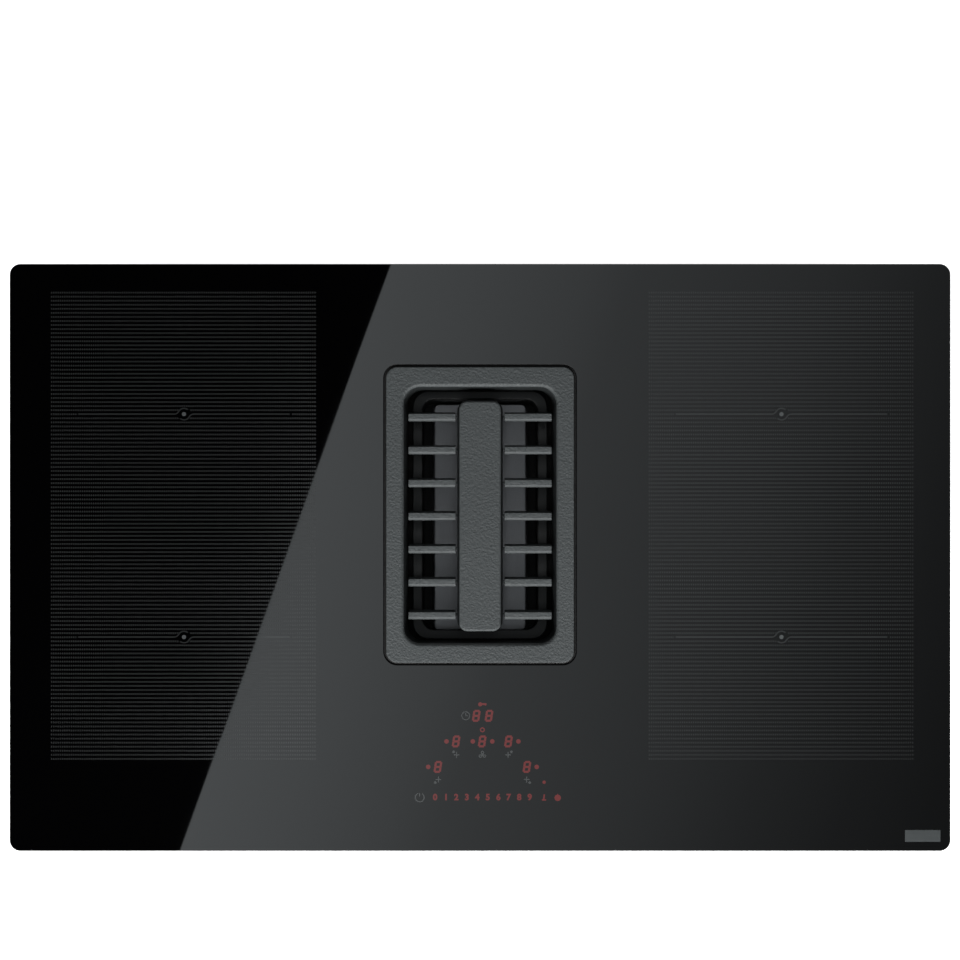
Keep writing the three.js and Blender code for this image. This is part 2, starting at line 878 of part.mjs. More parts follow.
function ferriteStar() {
  const reachX = coilWidth / 2 - 2 * carrierLegSize;
  const reachY = coilDepth / 2 - 2 * carrierLegSize;
  const hub = post(ferriteHubRadius, ferriteBottomZ, ferriteTopZ);
  const bars = [
    block(2 * reachX, ferriteBarWidth, ferriteBottomZ, ferriteTopZ),
    block(ferriteBarWidth, 2 * reachY, ferriteBottomZ, ferriteTopZ),
  ];
  for (const turn of [-1, 1]) {
    const bar = block(2 * reachY, ferriteBarWidth, ferriteBottomZ, ferriteTopZ);
    bars.push(bar.rotateZ(turn * radians(45)));
  }
  const bore = post(ferriteHubBore, ferriteBottomZ - overcut, ferriteTopZ + overcut);
  return cut(join(hub, ...bars), bore);
}

function coilSensor() {
  const headBottom = glassUnderZ - touch - sensorHeadHeight;
  const stemBottom = ferriteBottomZ;
  return turned([
    [0, stemBottom],
    [sensorStemRadius, stemBottom],
    [sensorStemRadius, headBottom],
    [sensorRadius, headBottom],
    [sensorRadius, glassUnderZ - touch],
    [0, glassUnderZ - touch],
  ], pinSteps);
}

function micaSheet() {
  const centreY = (rearCoilY + frontCoilY) / 2;
  const sheet = roundedSlab(
    coilWidth,
    coilPitch + coilDepth,
    carrierLegSize,
    coilTopZ + touch,
    coilTopZ + touch + micaThickness,
  );
  const holes = [-1, 1].map((end) => post(
    sensorRadius + touch,
    coilTopZ - overcut,
    glassUnderZ + overcut,
    0,
    end * coilPitch / 2,
  ));
  return cut(sheet, ...holes).translate(0, centreY, 0);
}

function powerBoard() {
  const half = boardWidth / 2;
  const sheet = block(boardWidth, boardDepth, boardBottomZ, boardTopZ);
  const parts = [sheet];
  for (const [sideX, sideY] of [[-1, -1], [-1, 1], [1, -1], [1, 1]]) {
    parts.push(post(
      standoffRadius,
      casingDeckZ + touch,
      boardBottomZ + boardThickness / 2,
      sideX * (half - standoffInset),
      sideY * (boardDepth / 2 - standoffInset),
    ));
  }
  const capacitorX = half - 2 * capacitorRadius;
  for (let i = 0; i < 4; i += 1) {
    const y = (i - 1.5) * 2.4 * capacitorRadius;
    const top = boardTopZ + capacitorHeight;
    parts.push(post(capacitorRadius, boardTopZ - boardThickness / 2, top, capacitorX, y));
  }
  const chokeY = -boardDepth / 2 + 2 * chokeRadius + standoffInset;
  const chokeX = -half + chokeRadius + standoffInset;
  for (const y of [chokeY, chokeY + 2.5 * chokeRadius]) {
    parts.push(post(chokeRadius, boardTopZ - boardThickness / 2, boardTopZ + chokeHeight, chokeX, y));
  }
  return join(...parts);
}

function heatSink() {
  const bottom = boardTopZ + touch;
  const base = block(heatSinkWidth, heatSinkDepth, bottom, bottom + heatSinkBase);
  const pitch = (heatSinkWidth - heatSinkFinThickness) / (heatSinkFinCount - 1);
  const fins = [];
  for (let i = 0; i < heatSinkFinCount; i += 1) {
    const x = (i - (heatSinkFinCount - 1) / 2) * pitch;
    fins.push(block(
      heatSinkFinThickness,
      heatSinkDepth,
      bottom + heatSinkBase / 2,
      bottom + heatSinkHeight,
      x,
    ));
  }
  return join(base, ...fins);
}

function coolerHousing() {
  const bore = coolerSize / 2 - coolerWall;
  const top = coolerBottomZ + coolerHeight;
  const shell = roundedSlab(coolerSize, coolerSize, 2 * coolerWall, coolerBottomZ, top);
  const chamber = post(bore, coolerBottomZ + coolerWall, top - coolerWall, 0, 0, roundSteps);
  const eye = post(
    bore - 2 * coolerRotorGap,
    coolerBottomZ - overcut,
    coolerBottomZ + coolerHeight / 2,
    0,
    0,
    roundSteps,
  );
  const outlet = block(
    coolerSize - 4 * coolerWall,
    coolerSize / 2 + overcut,
    coolerBottomZ + coolerWall,
    top - coolerWall,
    0,
    -coolerSize / 4 - overcut / 2,
  );
  const hollow = cut(shell, chamber, eye, outlet);
  const pin = post(
    coolerPinRadius,
    coolerBottomZ + 2 * coolerWall,
    top - coolerWall / 2,
  );
  return join(hollow, pin);
}

function coolerRotor() {
  const bottom = coolerBottomZ + coolerWall + coolerRotorGap / 2;
  const top = coolerBottomZ + coolerHeight - coolerWall - coolerRotorGap / 2;
  const tip = coolerSize / 2 - coolerWall - coolerRotorGap;
  const hub = post(coolerHubRadius, bottom, top, 0, 0, roundSteps);
  const parts = [hub];
  for (let i = 0; i < coolerBladeCount; i += 1) {
    const root = coolerHubRadius / 2;
    const blade = block(tip - root, coolerBladeThickness, bottom, top, (tip + root) / 2, 0);
    parts.push(blade.rotateZ(i * 2 * Math.PI / coolerBladeCount));
  }
  const bore = post(coolerPinRadius + touch, bottom - overcut, top + overcut);
  return cut(join(...parts), bore);
}

function touchCarrier() {
  const panTop = touchBoardBottomZ - touch;
  const pan = roundedSlab(touchWidth, touchDepth, 3 * touchSheet, touchPanBottomZ, panTop);
  const hollow = roundedSlab(
    touchWidth - 2 * touchSheet,
    touchDepth - 2 * touchSheet,
    2 * touchSheet,
    touchPanBottomZ + touchSheet,
    panTop + overcut,
  );
  const legX = touchWidth / 2 - touchLegSize;
  const legY = touchDepth / 2 - touchLegSize;
  const legs = [];
  for (const [sideX, sideY] of [[-1, -1], [-1, 1], [1, -1], [1, 1]]) {
    legs.push(block(
      touchLegSize,
      touchLegSize,
      casingDeckZ + touch,
      touchPanBottomZ + touchSheet / 2,
      sideX * legX,
      sideY * legY,
    ));
  }
  return join(cut(pan, hollow), ...legs);
}

function touchBoard() {
  const sheet = roundedSlab(touchWidth, touchDepth, 3 * touchSheet, touchBoardBottomZ, touchBoardTopZ);
  const displays = [];
  for (const column of [-2, -1, 0, 1, 2]) {
    displays.push(block(
      displaySize,
      displaySize,
      touchBoardTopZ - touchBoardThickness / 2,
      touchBoardTopZ + displayHeight,
      column * 2 * displaySize,
      (2 - Math.abs(column)) * displaySize,
    ));
  }
  return join(sheet, ...displays);
}

// ---------------------------------------------------------------------------
// Mains connection
// ---------------------------------------------------------------------------

function terminalBox() {
  const shell = block(terminalWidth, terminalDepth, terminalBottomZ, terminalTopZ);
  const hollow = block(
    terminalWidth - 2 * terminalWall,
    terminalDepth - 2 * terminalWall,
    terminalBottomZ - overcut,
    terminalTopZ - terminalWall,
  );
  const entryRadius = glandBore + terminalWall;
  const entry = new THREE.CylinderGeometry(entryRadius, entryRadius, 6 * terminalWall, roundSteps);
  entry.rotateZ(Math.PI / 2);
  entry.translate(terminalWidth / 2, 0, terminalBottomZ + terminalHeight / 2);
  const terminals = block(
    terminalBlockWidth,
    terminalBlockDepth,
    terminalTopZ - terminalWall - terminalBlockHeight,
    terminalTopZ - terminalWall / 2,
  );
  return join(cut(shell, hollow, entry), terminals);
}

function terminalLid() {
  const top = terminalBottomZ - touch;
  return block(terminalWidth, terminalDepth, top - terminalLidThickness, top);
}

function cableGland() {
  const neckRadius = glandBore + terminalWall - touch;
  const gland = turned([
    [glandBore, -glandNeck],
    [neckRadius, -glandNeck],
    [neckRadius, touch],
    [glandRadius, touch],
    [glandRadius, glandLength / 2],
    [glandRadius - terminalWall, glandLength],
    [glandBore, glandLength],
  ]);
  gland.rotateY(Math.PI / 2);
  return gland.translate(terminalWidth / 2, 0, terminalBottomZ + terminalHeight / 2);
}

// ---------------------------------------------------------------------------
// Plenum, fan inlet and fan housing
// ---------------------------------------------------------------------------

function plenum() {
  const walls = ringSlab(plenumWidth, plenumDepth, plenumCornerRadius, plenumWall, plenumFloorZ, plenumTopZ);
  const floor = roundedSlab(
    plenumWidth,
    plenumDepth,
    plenumCornerRadius,
    plenumFloorZ,
    plenumFloorZ + plenumWall,
  );
  const flange = ringSlab(
    plenumWidth + 2 * plenumFlange,
    plenumDepth + 2 * plenumFlange,
    plenumCornerRadius + plenumFlange,
    plenumFlange + plenumWall,
    plenumTopZ - plenumWall,
    plenumTopZ,
  );
  const throat = post(
    inletThroatRadius + inletSheet + touch,
    plenumFloorZ - overcut,
    plenumFloorZ + plenumWall + overcut,
    0,
    0,
    roundSteps,
  );
  return cut(join(walls, floor, flange), throat);
}

// A bell: flange on the plenum floor, rounded lip, and a throat that reaches into the impeller's eye.
function fanInlet() {
  const outer = inletThroatRadius + inletSheet;
  const flangeZ = plenumFloorZ + plenumWall + touch;
  const lipCentre = inletThroatRadius + inletLipRadius;
  const lipZ = flangeZ + inletSheet;
  const profile = [
    [inletThroatRadius, inletBottomZ - housingWall],
    [outer, inletBottomZ - housingWall],
    [outer, flangeZ],
    [lipCentre + inletFlange, flangeZ],
    [lipCentre + inletFlange, lipZ],
    [lipCentre, lipZ + inletLipRadius],
  ];
  const arcSteps = 2 * cornerSteps;
  for (let i = 1; i <= arcSteps; i += 1) {
    const turn = i * Math.PI / 2 / arcSteps;
    profile.push([lipCentre - inletLipRadius * Math.sin(turn), lipZ + inletLipRadius * Math.cos(turn)]);
  }
  return turned(profile);
}

// The scroll grows anticlockwise from its tongue, and its right side runs on into the outlet.
function scrollShape(inset) {
  const shape = new THREE.Shape();
  for (let i = 0; i <= scrollSteps; i += 1) {
    const share = i / scrollSteps;
    const angle = radians(scrollStartAngle + share * (360 - scrollStartAngle));
    const radius = scrollStartRadius + share * (scrollEndRadius - scrollStartRadius) - inset;
    const point = [radius * Math.cos(angle), radius * Math.sin(angle)];
    if (i === 0) {
      shape.moveTo(...point);
    } else {
      shape.lineTo(...point);
    }
  }
  return shape;
}

function diffuserShape(inset, end) {
  const tongueAngle = radians(scrollStartAngle);
  const tongueX = scrollStartRadius * Math.cos(tongueAngle);
  const tongueY = scrollStartRadius * Math.sin(tongueAngle);
  const left = scrollEndRadius - outletWidth;
  const slope = Math.atan2(scrollRun - tongueY, tongueX - left);
  const shape = new THREE.Shape();
  shape.moveTo(scrollEndRadius - inset, 0);
  shape.lineTo(scrollEndRadius - inset, end);
  shape.lineTo(left + (inset - (end - scrollRun) * Math.cos(slope)) / Math.sin(slope), end);
  shape.lineTo(tongueX + inset * Math.sin(slope), tongueY + inset * Math.cos(slope));
  shape.lineTo(bladeRootRadius * Math.cos(tongueAngle / 2), bladeRootRadius * Math.sin(tongueAngle / 2));
  return shape;
}

function scrollSlab(inset, bottom, top, end) {
  return join(slab(scrollShape(inset), bottom, top), slab(diffuserShape(inset, end), bottom, top));
}

function lugs(bottom, top) {
  return lugAngles.map((degrees) => {
    const share = (degrees - scrollStartAngle) / (360 - scrollStartAngle);
    const radius = scrollStartRadius + share * (scrollEndRadius - scrollStartRadius) + lugRadius / 2;
    const angle = radians(degrees);
    return post(lugRadius, bottom, top, radius * Math.cos(angle), radius * Math.sin(angle));
  });
}

function housingLower() {
  const outer = scrollSlab(0, 0, housingSplitZ, scrollRun);
  const hollow = scrollSlab(housingWall, housingWall, housingSplitZ + overcut, scrollRun + overcut);
  const rimBottom = housingSplitZ - lugHeight;
  return cut(join(outer, ...lugs(rimBottom, housingSplitZ)), hollow);
}

function housingUpper() {
  const bottom = housingSplitZ + touch;
  const outer = scrollSlab(0, bottom, housingHeight, scrollRun);
  const ceiling = housingHeight - housingWall;
  const hollow = scrollSlab(housingWall, bottom - overcut, ceiling, scrollRun + overcut);
  const eye = post(
    inletThroatRadius + inletSheet + touch,
    housingHeight - housingWall - overcut,
    housingHeight + overcut,
    0,
    0,
    roundSteps,
  );
  return cut(join(outer, ...lugs(bottom, bottom + lugHeight)), hollow, eye);
}

function outletCollar() {
  const length = outletCollarLength;
  const middleZ = housingHeight / 2;
  const edgeZ = outletFlange / 2;
  const flange = block(outletWidth, outletWall, edgeZ, housingHeight - edgeZ, 0, outletWall / 2);
  const halfHeight = outletHeight / 2;
  const sleeve = block(outletWidth, length, middleZ - halfHeight, middleZ + halfHeight, 0, length / 2);
  const hollow = block(
    outletWidth - 2 * outletWall,
    length + 2 * overcut,
    middleZ - outletHeight / 2 + outletWall,
    middleZ + outletHeight / 2 - outletWall,
    0,
    length / 2,
  );
  return cut(join(flange, sleeve), hollow);
}

// ---------------------------------------------------------------------------
// Impeller and motor
// ---------------------------------------------------------------------------

function impellerBlade(bottom, top) {
  const sweep = radians(bladeSweep);
  const root = bladeRootRadius;
  const tip = impellerRadius - impellerSheet / 2;
  const shape = new THREE.Shape();
  shape.moveTo(root, 0);
  shape.quadraticCurveTo((root + tip) / 2, 0, tip * Math.cos(sweep), tip * Math.sin(sweep));
  const innerTip = tip - bladeThickness;
  shape.lineTo(innerTip * Math.cos(sweep), innerTip * Math.sin(sweep) + bladeThickness);
  shape.quadraticCurveTo((root + tip) / 2 - bladeThickness, bladeThickness, root, bladeThickness);
  const blade = new THREE.ExtrudeGeometry(shape, {
    depth: top - bottom,
    curveSegments: 3,
    bevelEnabled: false,
  });
  return blade.translate(0, 0, bottom);
}

function impeller() {
  const hubRadius = motorRadius + touch;
  const plate = turned([
    [hubRadius, impellerBottomZ],
    [impellerRadius, impellerBottomZ],
    [impellerRadius, impellerBottomZ + impellerSheet],
    [hubRadius + impellerSheet, impellerBottomZ + impellerSheet],
    [hubRadius + impellerSheet, domeTopZ],
    [shaftRadius + touch, domeTopZ],
    [shaftRadius + touch, domeTopZ - impellerSheet],
    [hubRadius, domeTopZ - impellerSheet],
  ]);
  const ringInnerRadius = impellerRadius - 3 * impellerSheet;
  const ring = tube(impellerRadius, ringInnerRadius, impellerTopZ - impellerRingHeight, impellerTopZ);
  const parts = [plate, ring];
  const bladeBottom = impellerBottomZ + impellerSheet / 2;
  const bladeTop = impellerTopZ - impellerRingHeight / 2;
  for (let i = 0; i < bladeCount; i += 1) {
    parts.push(impellerBlade(bladeBottom, bladeTop).rotateZ(i * 2 * Math.PI / bladeCount));
  }
  return join(...parts);
}

function motorRotor() {
  return turned([
    [motorRadius - motorCanWall, canBottomZ],
    [motorRadius, canBottomZ],
    [motorRadius, canTopZ],
    [shaftRadius + touch, canTopZ],
    [shaftRadius + touch, canTopZ - motorCanWall],
    [motorRadius - motorCanWall, canTopZ - motorCanWall],
  ]);
}

function motorShaft() {
  return post(shaftRadius, shaftBottomZ, shaftTopZ, 0, 0, roundSteps);
}

function motorStator() {
  const outer = motorRadius - motorCanWall - motorAirGap;
  const inner = bearingTubeRadius + touch;
  const bottom = canBottomZ + motorAirGap;
  const core = tube(outer, inner, bottom, bottom + statorHeight);
  const slots = [];
  for (let i = 0; i < statorPoles; i += 1) {
    const slotTop = bottom + statorHeight + overcut;
    const slot = block((outer - inner) / 2, inner / 2, bottom - overcut, slotTop, outer);
    slots.push(slot.rotateZ(i * 2 * Math.PI / statorPoles));
  }
  return cut(core, ...slots);
}

function motorBase() {
  const base = motorBaseZ;
  return turned([
    [0, base],
    [motorBaseRadius, base],
    [motorBaseRadius, base + motorBaseThickness],
    [bearingTubeRadius, base + motorBaseThickness],
    [bearingTubeRadius, bearingTubeTopZ],
    [bearingRadius + touch, bearingTubeTopZ],
    [bearingRadius + touch, base + motorBaseThickness],
    [0, base + motorBaseThickness],
  ]);
}

function motorBearing(bottom) {
  return tube(bearingRadius, shaftRadius + touch, bottom, bottom + bearingHeight);
}

function motorGrommet() {
  const bottom = housingWall + touch;
  return tube(grommetRadius, grommetRadius / 3, bottom, bottom + grommetHeight, pinSteps);
}

// ---------------------------------------------------------------------------
// Assembly
// ---------------------------------------------------------------------------

add('glass_panel', glassPanel(), 'glass');
add('rim_gasket', rimGasket(), 'rubber');
add('well_gasket', wellGasket(), 'rubber', 0, wellOffsetY);
add('inlet_frame', inletFrame(), 'castIron', 0, wellOffsetY);
add('grille', grille(), 'castIron', 0, grilleOffsetY);
add('filter_basket', filterBasket(), 'blackPlastic', 0, wellOffsetY);
add('filter_mesh', filterMesh(), 'stainless', 0, wellOffsetY);
add('drip_tray', dripTray(), 'stainless', 0, trayOffsetY);
add('well_duct', wellDuct(), 'blackPlastic', 0, wellOffsetY);
add('casing_tray', casingTray(), 'zincSteel');

for (const [sideName, side] of [['left', -1], ['right', 1]]) {
  const x = coilShiftX + side * coilColumnX;
  for (const [rowName, y] of [['rear', rearCoilY], ['front', frontCoilY]]) {
    add(`induction_coil_${rowName}_${sideName}`, inductionCoil(), 'copper', x, y);
    add(`coil_carrier_${rowName}_${sideName}`, coilCarrier(), 'aluminium', x, y);
    add(`ferrite_star_${rowName}_${sideName}`, ferriteStar(), 'ferrite', x, y);
    add(`coil_sensor_${rowName}_${sideName}`, coilSensor(), 'whitePlastic', x, y);
  }
  add(`mica_sheet_${sideName}`, micaSheet(), 'mica', x);
  add(`power_board_${sideName}`, powerBoard(), 'circuitBoard', x, boardY);
  add(`heat_sink_${sideName}`, heatSink(), 'aluminium', x, boardY);
  add(`cooling_fan_housing_${sideName}`, coolerHousing(), 'blackPlastic', x, coolerY);
  add(`cooling_fan_rotor_${sideName}`, coolerRotor(), 'blackPlastic', x, coolerY);
  for (const [endName, end] of [['rear', 1], ['front', -1]]) {
    const clipY = end * (casingDepth / 2 - clipFromEdge);
    add(`mounting_clip_${endName}_${sideName}`, mountingClip(side), 'stainless', 0, clipY);
  }
}

add('touch_board', touchBoard(), 'circuitBoard', touchShiftX, touchY);
add('touch_board_carrier', touchCarrier(), 'whitePlastic', touchShiftX, touchY);
add('terminal_box', terminalBox(), 'blackPlastic', terminalX, terminalY);
add('terminal_lid', terminalLid(), 'blackPlastic', terminalX, terminalY);
add('cable_gland', cableGland(), 'greyPlastic', terminalX, terminalY);

add('plenum', plenum(), 'greyPlastic', 0, wellOffsetY);
add('fan_inlet', fanInlet(), 'blackPlastic', 0, wellOffsetY);
add('fan_housing_upper', housingUpper(), 'greyPlastic', 0, wellOffsetY);
add('fan_housing_lower', housingLower(), 'greyPlastic', 0, wellOffsetY);
add(
  'outlet_collar',
  outletCollar(),
  'blackPlastic',
  scrollEndRadius - outletWidth / 2,
  wellOffsetY + scrollRun + touch,
);
add('impeller', impeller(), 'blackPlastic', 0, wellOffsetY);
add('motor_rotor', motorRotor(), 'zincSteel', 0, wellOffsetY);
add('motor_shaft', motorShaft(), 'stainless', 0, wellOffsetY);
add('motor_stator', motorStator(), 'copper', 0, wellOffsetY);
add('motor_base', motorBase(), 'aluminium', 0, wellOffsetY);
add('motor_bearing_lower', motorBearing(shaftBottomZ), 'stainless', 0, wellOffsetY);
add('motor_bearing_upper', motorBearing(bearingTubeTopZ - bearingHeight), 'stainless', 0, wellOffsetY);
for (let i = 0; i < grommetCount; i += 1) {
  const angle = i * 2 * Math.PI / grommetCount;
  const radius = motorBaseRadius - grommetRadius;
  const grommetX = radius * Math.cos(angle);
  const grommetY = wellOffsetY + radius * Math.sin(angle);
  add(`motor_grommet_${i + 1}`, motorGrommet(), 'rubber', grommetX, grommetY);
}

export default cooktop;
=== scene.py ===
"""Downdraft induction cooktop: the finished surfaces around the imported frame.

Sizes are metres in the frame's own axes: +X to the cook's right, +Y to the rear, +Z up.
Printed marks are placed by the photograph's pixels through one scale, and sit on the glass.
"""

import json
import math

import bmesh
import bpy
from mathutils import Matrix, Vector


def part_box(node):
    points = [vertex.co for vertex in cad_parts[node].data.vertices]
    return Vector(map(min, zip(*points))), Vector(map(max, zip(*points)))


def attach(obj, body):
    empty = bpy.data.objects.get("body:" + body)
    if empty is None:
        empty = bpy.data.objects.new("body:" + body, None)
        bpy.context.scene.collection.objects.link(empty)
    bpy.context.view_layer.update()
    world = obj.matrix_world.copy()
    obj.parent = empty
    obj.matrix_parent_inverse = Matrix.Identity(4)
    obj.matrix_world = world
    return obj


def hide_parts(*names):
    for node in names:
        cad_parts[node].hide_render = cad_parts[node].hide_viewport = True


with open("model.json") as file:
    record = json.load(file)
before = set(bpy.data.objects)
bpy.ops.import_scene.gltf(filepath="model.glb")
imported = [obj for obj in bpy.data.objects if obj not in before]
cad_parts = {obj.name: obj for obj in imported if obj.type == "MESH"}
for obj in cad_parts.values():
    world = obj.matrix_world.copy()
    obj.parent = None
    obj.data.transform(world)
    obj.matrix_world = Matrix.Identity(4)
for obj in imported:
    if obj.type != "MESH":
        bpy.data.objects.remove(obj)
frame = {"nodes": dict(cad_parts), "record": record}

bl_info = {
    "name": "Downdraft Induction Cooktop",
    "version": (1, 0, 0),
    "blender": (4, 5, 0),
    "location": "View3D > Sidebar > Cooktop",
    "description": "Builds a glass hob with a suction well, its fan housing and its studio",
    "category": "Add Mesh",
}

# Levels closer than this count as one, and places closer than the next
FLAT = 1e-6
NEAR = 1e-4

GLASS_LOW, GLASS_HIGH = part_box("glass_panel")
FRAME_LOW, FRAME_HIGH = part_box("inlet_frame")
GRILLE_LOW, GRILLE_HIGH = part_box("grille")
BASKET_LOW, BASKET_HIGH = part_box("filter_basket")
TRAY_LOW, TRAY_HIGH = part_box("drip_tray")
GLASS_TOP = GLASS_HIGH.z
WELL = (FRAME_LOW + FRAME_HIGH) / 2
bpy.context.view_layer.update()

# The photograph: 960 px square, glass centre and width in its pixels
PHOTO_SIDE = 960
PHOTO_GLASS_CENTRE = (480.05, 557.48)
PHOTO_GLASS_WIDTH = 940.8
PX = (GLASS_HIGH.x - GLASS_LOW.x) / PHOTO_GLASS_WIDTH


def photo_point(px_x, px_y, lift=0.0):
    """A pixel of the photograph as a point on the glass, raised by lift."""
    x = (px_x - PHOTO_GLASS_CENTRE[0]) * PX
    y = (PHOTO_GLASS_CENTRE[1] - px_y) * PX
    return Vector((x, y, GLASS_TOP + lift))


# ---------------------------------------------------------------------------
# Settings
# ---------------------------------------------------------------------------


def length(name, description, default, **more):
    """A setting in metres."""
    return bpy.props.FloatProperty(name=name, description=description, default=default, unit="LENGTH", **more)


def tint(name, description, default):
    """A setting that is a colour."""
    return bpy.props.FloatVectorProperty(name=name, description=description, default=default, subtype="COLOR")


class CooktopSizes(bpy.types.PropertyGroup):
    """Sizes of what the frame leaves to the finish."""

    glass_corner: length("Glass Corner", "Corner radius of the glass", 0.0095)
    frame_face_x: length("Frame Face X", "Frame edge to mouth at the sides", 0.0156)
    frame_face_y: length("Frame Face Y", "Frame edge to mouth, front and rear", 0.0173)
    frame_corner: length("Frame Corner", "Outer corner radius of the frame", 0.010)
    mouth_corner: length("Mouth Corner", "Corner radius of the well's mouth", 0.0145)
    lip_radius: length("Lip Radius", "Rounding of the mouth's lip", 0.0033)
    spine_width: length("Spine Width", "Top width of the grille's spine", 0.0374)
    spine_draft: length("Spine Draft", "How far the spine's side slopes out", 0.0014)
    fin_thickness: length("Fin Thickness", "Thickness of one fin at its top", 0.0064)
    dot_pitch: length("Dot Pitch", "Spacing of the printed dots in a row", 0.001953)
    row_pitch: length("Row Pitch", "Spacing of the printed rows", 0.003577)
    zone_width: length("Zone Width", "Width of one printed cooking zone", 0.2344)
    zone_depth: length("Zone Depth", "Depth of one printed cooking zone", 0.4132)
    camera_height: length("Camera Height", "Camera above the glass", 2.2)


class CooktopColours(bpy.types.PropertyGroup):
    """Base colours of the visible finishes, in linear light."""

    glass: tint("Glass", "Black ceramic glass", (0.0006, 0.0006, 0.0007))
    casting: tint("Casting", "Grained dark-grey coating", (0.0469, 0.053, 0.0545))
    dot_ink: tint("Dot Ink", "Printed dots of the zones", (0.022, 0.023, 0.023))
    grey_ink: tint("Grey Ink", "Printed lines of the markers", (0.016, 0.017, 0.017))
    icon_ink: tint("Icon Ink", "Grey icons of the touch control", (0.041, 0.0435, 0.044))
    red_light: tint("Red Light", "Lit digits of the touch control", (0.136, 0.0168, 0.0168))
    tray_steel: tint("Tray Steel", "Brushed drip tray", (0.228, 0.229, 0.238))
    housing: tint("Housing", "Moulded fan housing", (0.075, 0.079, 0.084))


def sizes():
    return bpy.context.scene.cooktop_sizes


def colours():
    return bpy.context.scene.cooktop_colours


# ---------------------------------------------------------------------------
# Modelling helpers
# ---------------------------------------------------------------------------

SMALLEST_CORNER = 0.0002
SMOOTH_ANGLE = math.radians(38)
SHARP_ANGLE = math.radians(32)
FLAT_ANGLE = math.radians(2)


def deselect_all():
    bpy.ops.object.select_all(action="DESELECT")


def make_active(obj):
    deselect_all()
    obj.select_set(True)
    bpy.context.view_layer.objects.active = obj


def enter_edit(obj):
    make_active(obj)
    bpy.ops.object.mode_set(mode="EDIT")


def leave_edit():
    bpy.ops.object.mode_set(mode="OBJECT")


def pick(obj, kind, test):
    """In edit mode, selects what passes the test; kind is FACE or EDGE."""
    bpy.ops.mesh.select_mode(type=kind)
    bpy.ops.mesh.select_all(action="DESELECT")
    mesh = bmesh.from_edit_mesh(obj.data)
    for element in mesh.faces if kind == "FACE" else mesh.edges:
        element.select_set(test(element))
    bmesh.update_edit_mesh(obj.data)


def edge_middle(edge):
    return (edge.verts[0].co + edge.verts[1].co) / 2


def round_over(offset, steps=2, profile=0.5):
    """In edit mode, bevels what is selected."""
    bpy.ops.mesh.bevel(offset=offset, offset_type="OFFSET", segments=steps, profile=profile)


def face_outwards():
    """In edit mode, turns every face outwards."""
    bpy.ops.mesh.select_all(action="SELECT")
    bpy.ops.mesh.normals_make_consistent(inside=False)


def apply_place(obj):
    make_active(obj)
    bpy.ops.object.transform_apply(location=True, rotation=True, scale=True)


def named(name):
    """The object just added, under its name."""
    bpy.context.object.name = name
    return bpy.context.object


def add_block(name, low, high, bevel=0.0):
    """A box between two corners, its edges bevelled."""
    deselect_all()
    bpy.ops.mesh.primitive_cube_add(size=1, location=(Vector(low) + Vector(high)) / 2)
    block = named(name)
    block.scale = Vector(high) - Vector(low)
    apply_place(block)
    if bevel:
        enter_edit(block)
        bpy.ops.mesh.select_all(action="SELECT")
        round_over(bevel)
        leave_edit()
    return block


def add_disc(name, foot, radius, height, bevel=0.0, vertices=32):
    """A short upright cylinder on the middle of its foot, its rims bevelled."""
    deselect_all()
    place = Vector(foot) + Vector((0, 0, height / 2))
    bpy.ops.mesh.primitive_cylinder_add(vertices=vertices, radius=radius, depth=height, location=place)
    disc = named(name)
    apply_place(disc)
    if bevel:
        enter_edit(disc)
        pick(disc, "EDGE", lambda edge: any(len(face.verts) > 4 for face in edge.link_faces))
        round_over(bevel)
        leave_edit()
    return disc


def arc(offset, level, radius, start, end, steps):
    """Points (offset, level) on an arc; 0 degrees points to a larger offset and 90 up."""
    points = []
    for step in range(steps + 1):
        angle = math.radians(start + (end - start) * step / steps)
        points.append((offset + radius * math.cos(angle), level + radius * math.sin(angle)))
    return points


def around(width, depth, corner, profile, shift=0.0):
    """Loft outlines from (offset, level) points round one rectangle, moved to the rear by shift."""
    return [(width + 2 * o, depth + 2 * o, corner + o, level, shift) for o, level in profile]


def loft(name, outlines, centre=(0.0, 0.0), closed=True, capped=False, corner_steps=8):
    """Bridges rounded rectangles (width, depth, corner, level), one after the other.

    A fifth number moves an outline to the rear. The last is joined to the first if closed, and
    both ends are covered if capped.
    """
    deselect_all()
    bpy.ops.mesh.primitive_plane_add(size=1)
    shell = named(name)
    enter_edit(shell)
    bpy.ops.mesh.select_all(action="SELECT")
    bpy.ops.mesh.delete(type="VERT")
    bmesh.from_edit_mesh(shell.data).verts.layers.int.new("outline")
    for number, (width, depth, corner, level, *shift) in enumerate(outlines, 1):
        place = (centre[0], centre[1] + sum(shift), level)
        bpy.ops.mesh.primitive_plane_add(size=1, location=place)
        bpy.ops.transform.resize(value=(width, depth, 1), center_override=place)
        radius = max(corner, SMALLEST_CORNER)
        bpy.ops.mesh.bevel(
            offset=radius, offset_type="OFFSET", segments=corner_steps, profile=0.5, affect="VERTICES"
        )
        bpy.ops.mesh.delete(type="ONLY_FACE")
        mesh = bmesh.from_edit_mesh(shell.data)
        label = mesh.verts.layers.int["outline"]
        for vertex in mesh.verts:
            if vertex[label] == 0:
                vertex[label] = number
        bpy.ops.mesh.select_all(action="DESELECT")
    last = len(outlines)
    pairs = [(number, number + 1) for number in range(1, last)]
    if closed:
        pairs.append((last, 1))
    for first, second in pairs:
        pick_outlines(shell, first, second)
        if abs(outlines[first - 1][3] - outlines[second - 1][3]) < FLAT:
            bpy.ops.mesh.fill()
        else:
            bpy.ops.mesh.bridge_edge_loops()
    if capped:
        for end in (1, last):
            pick_outlines(shell, end, end)
            bpy.ops.mesh.edge_face_add()
    face_outwards()
    leave_edit()
    return shell


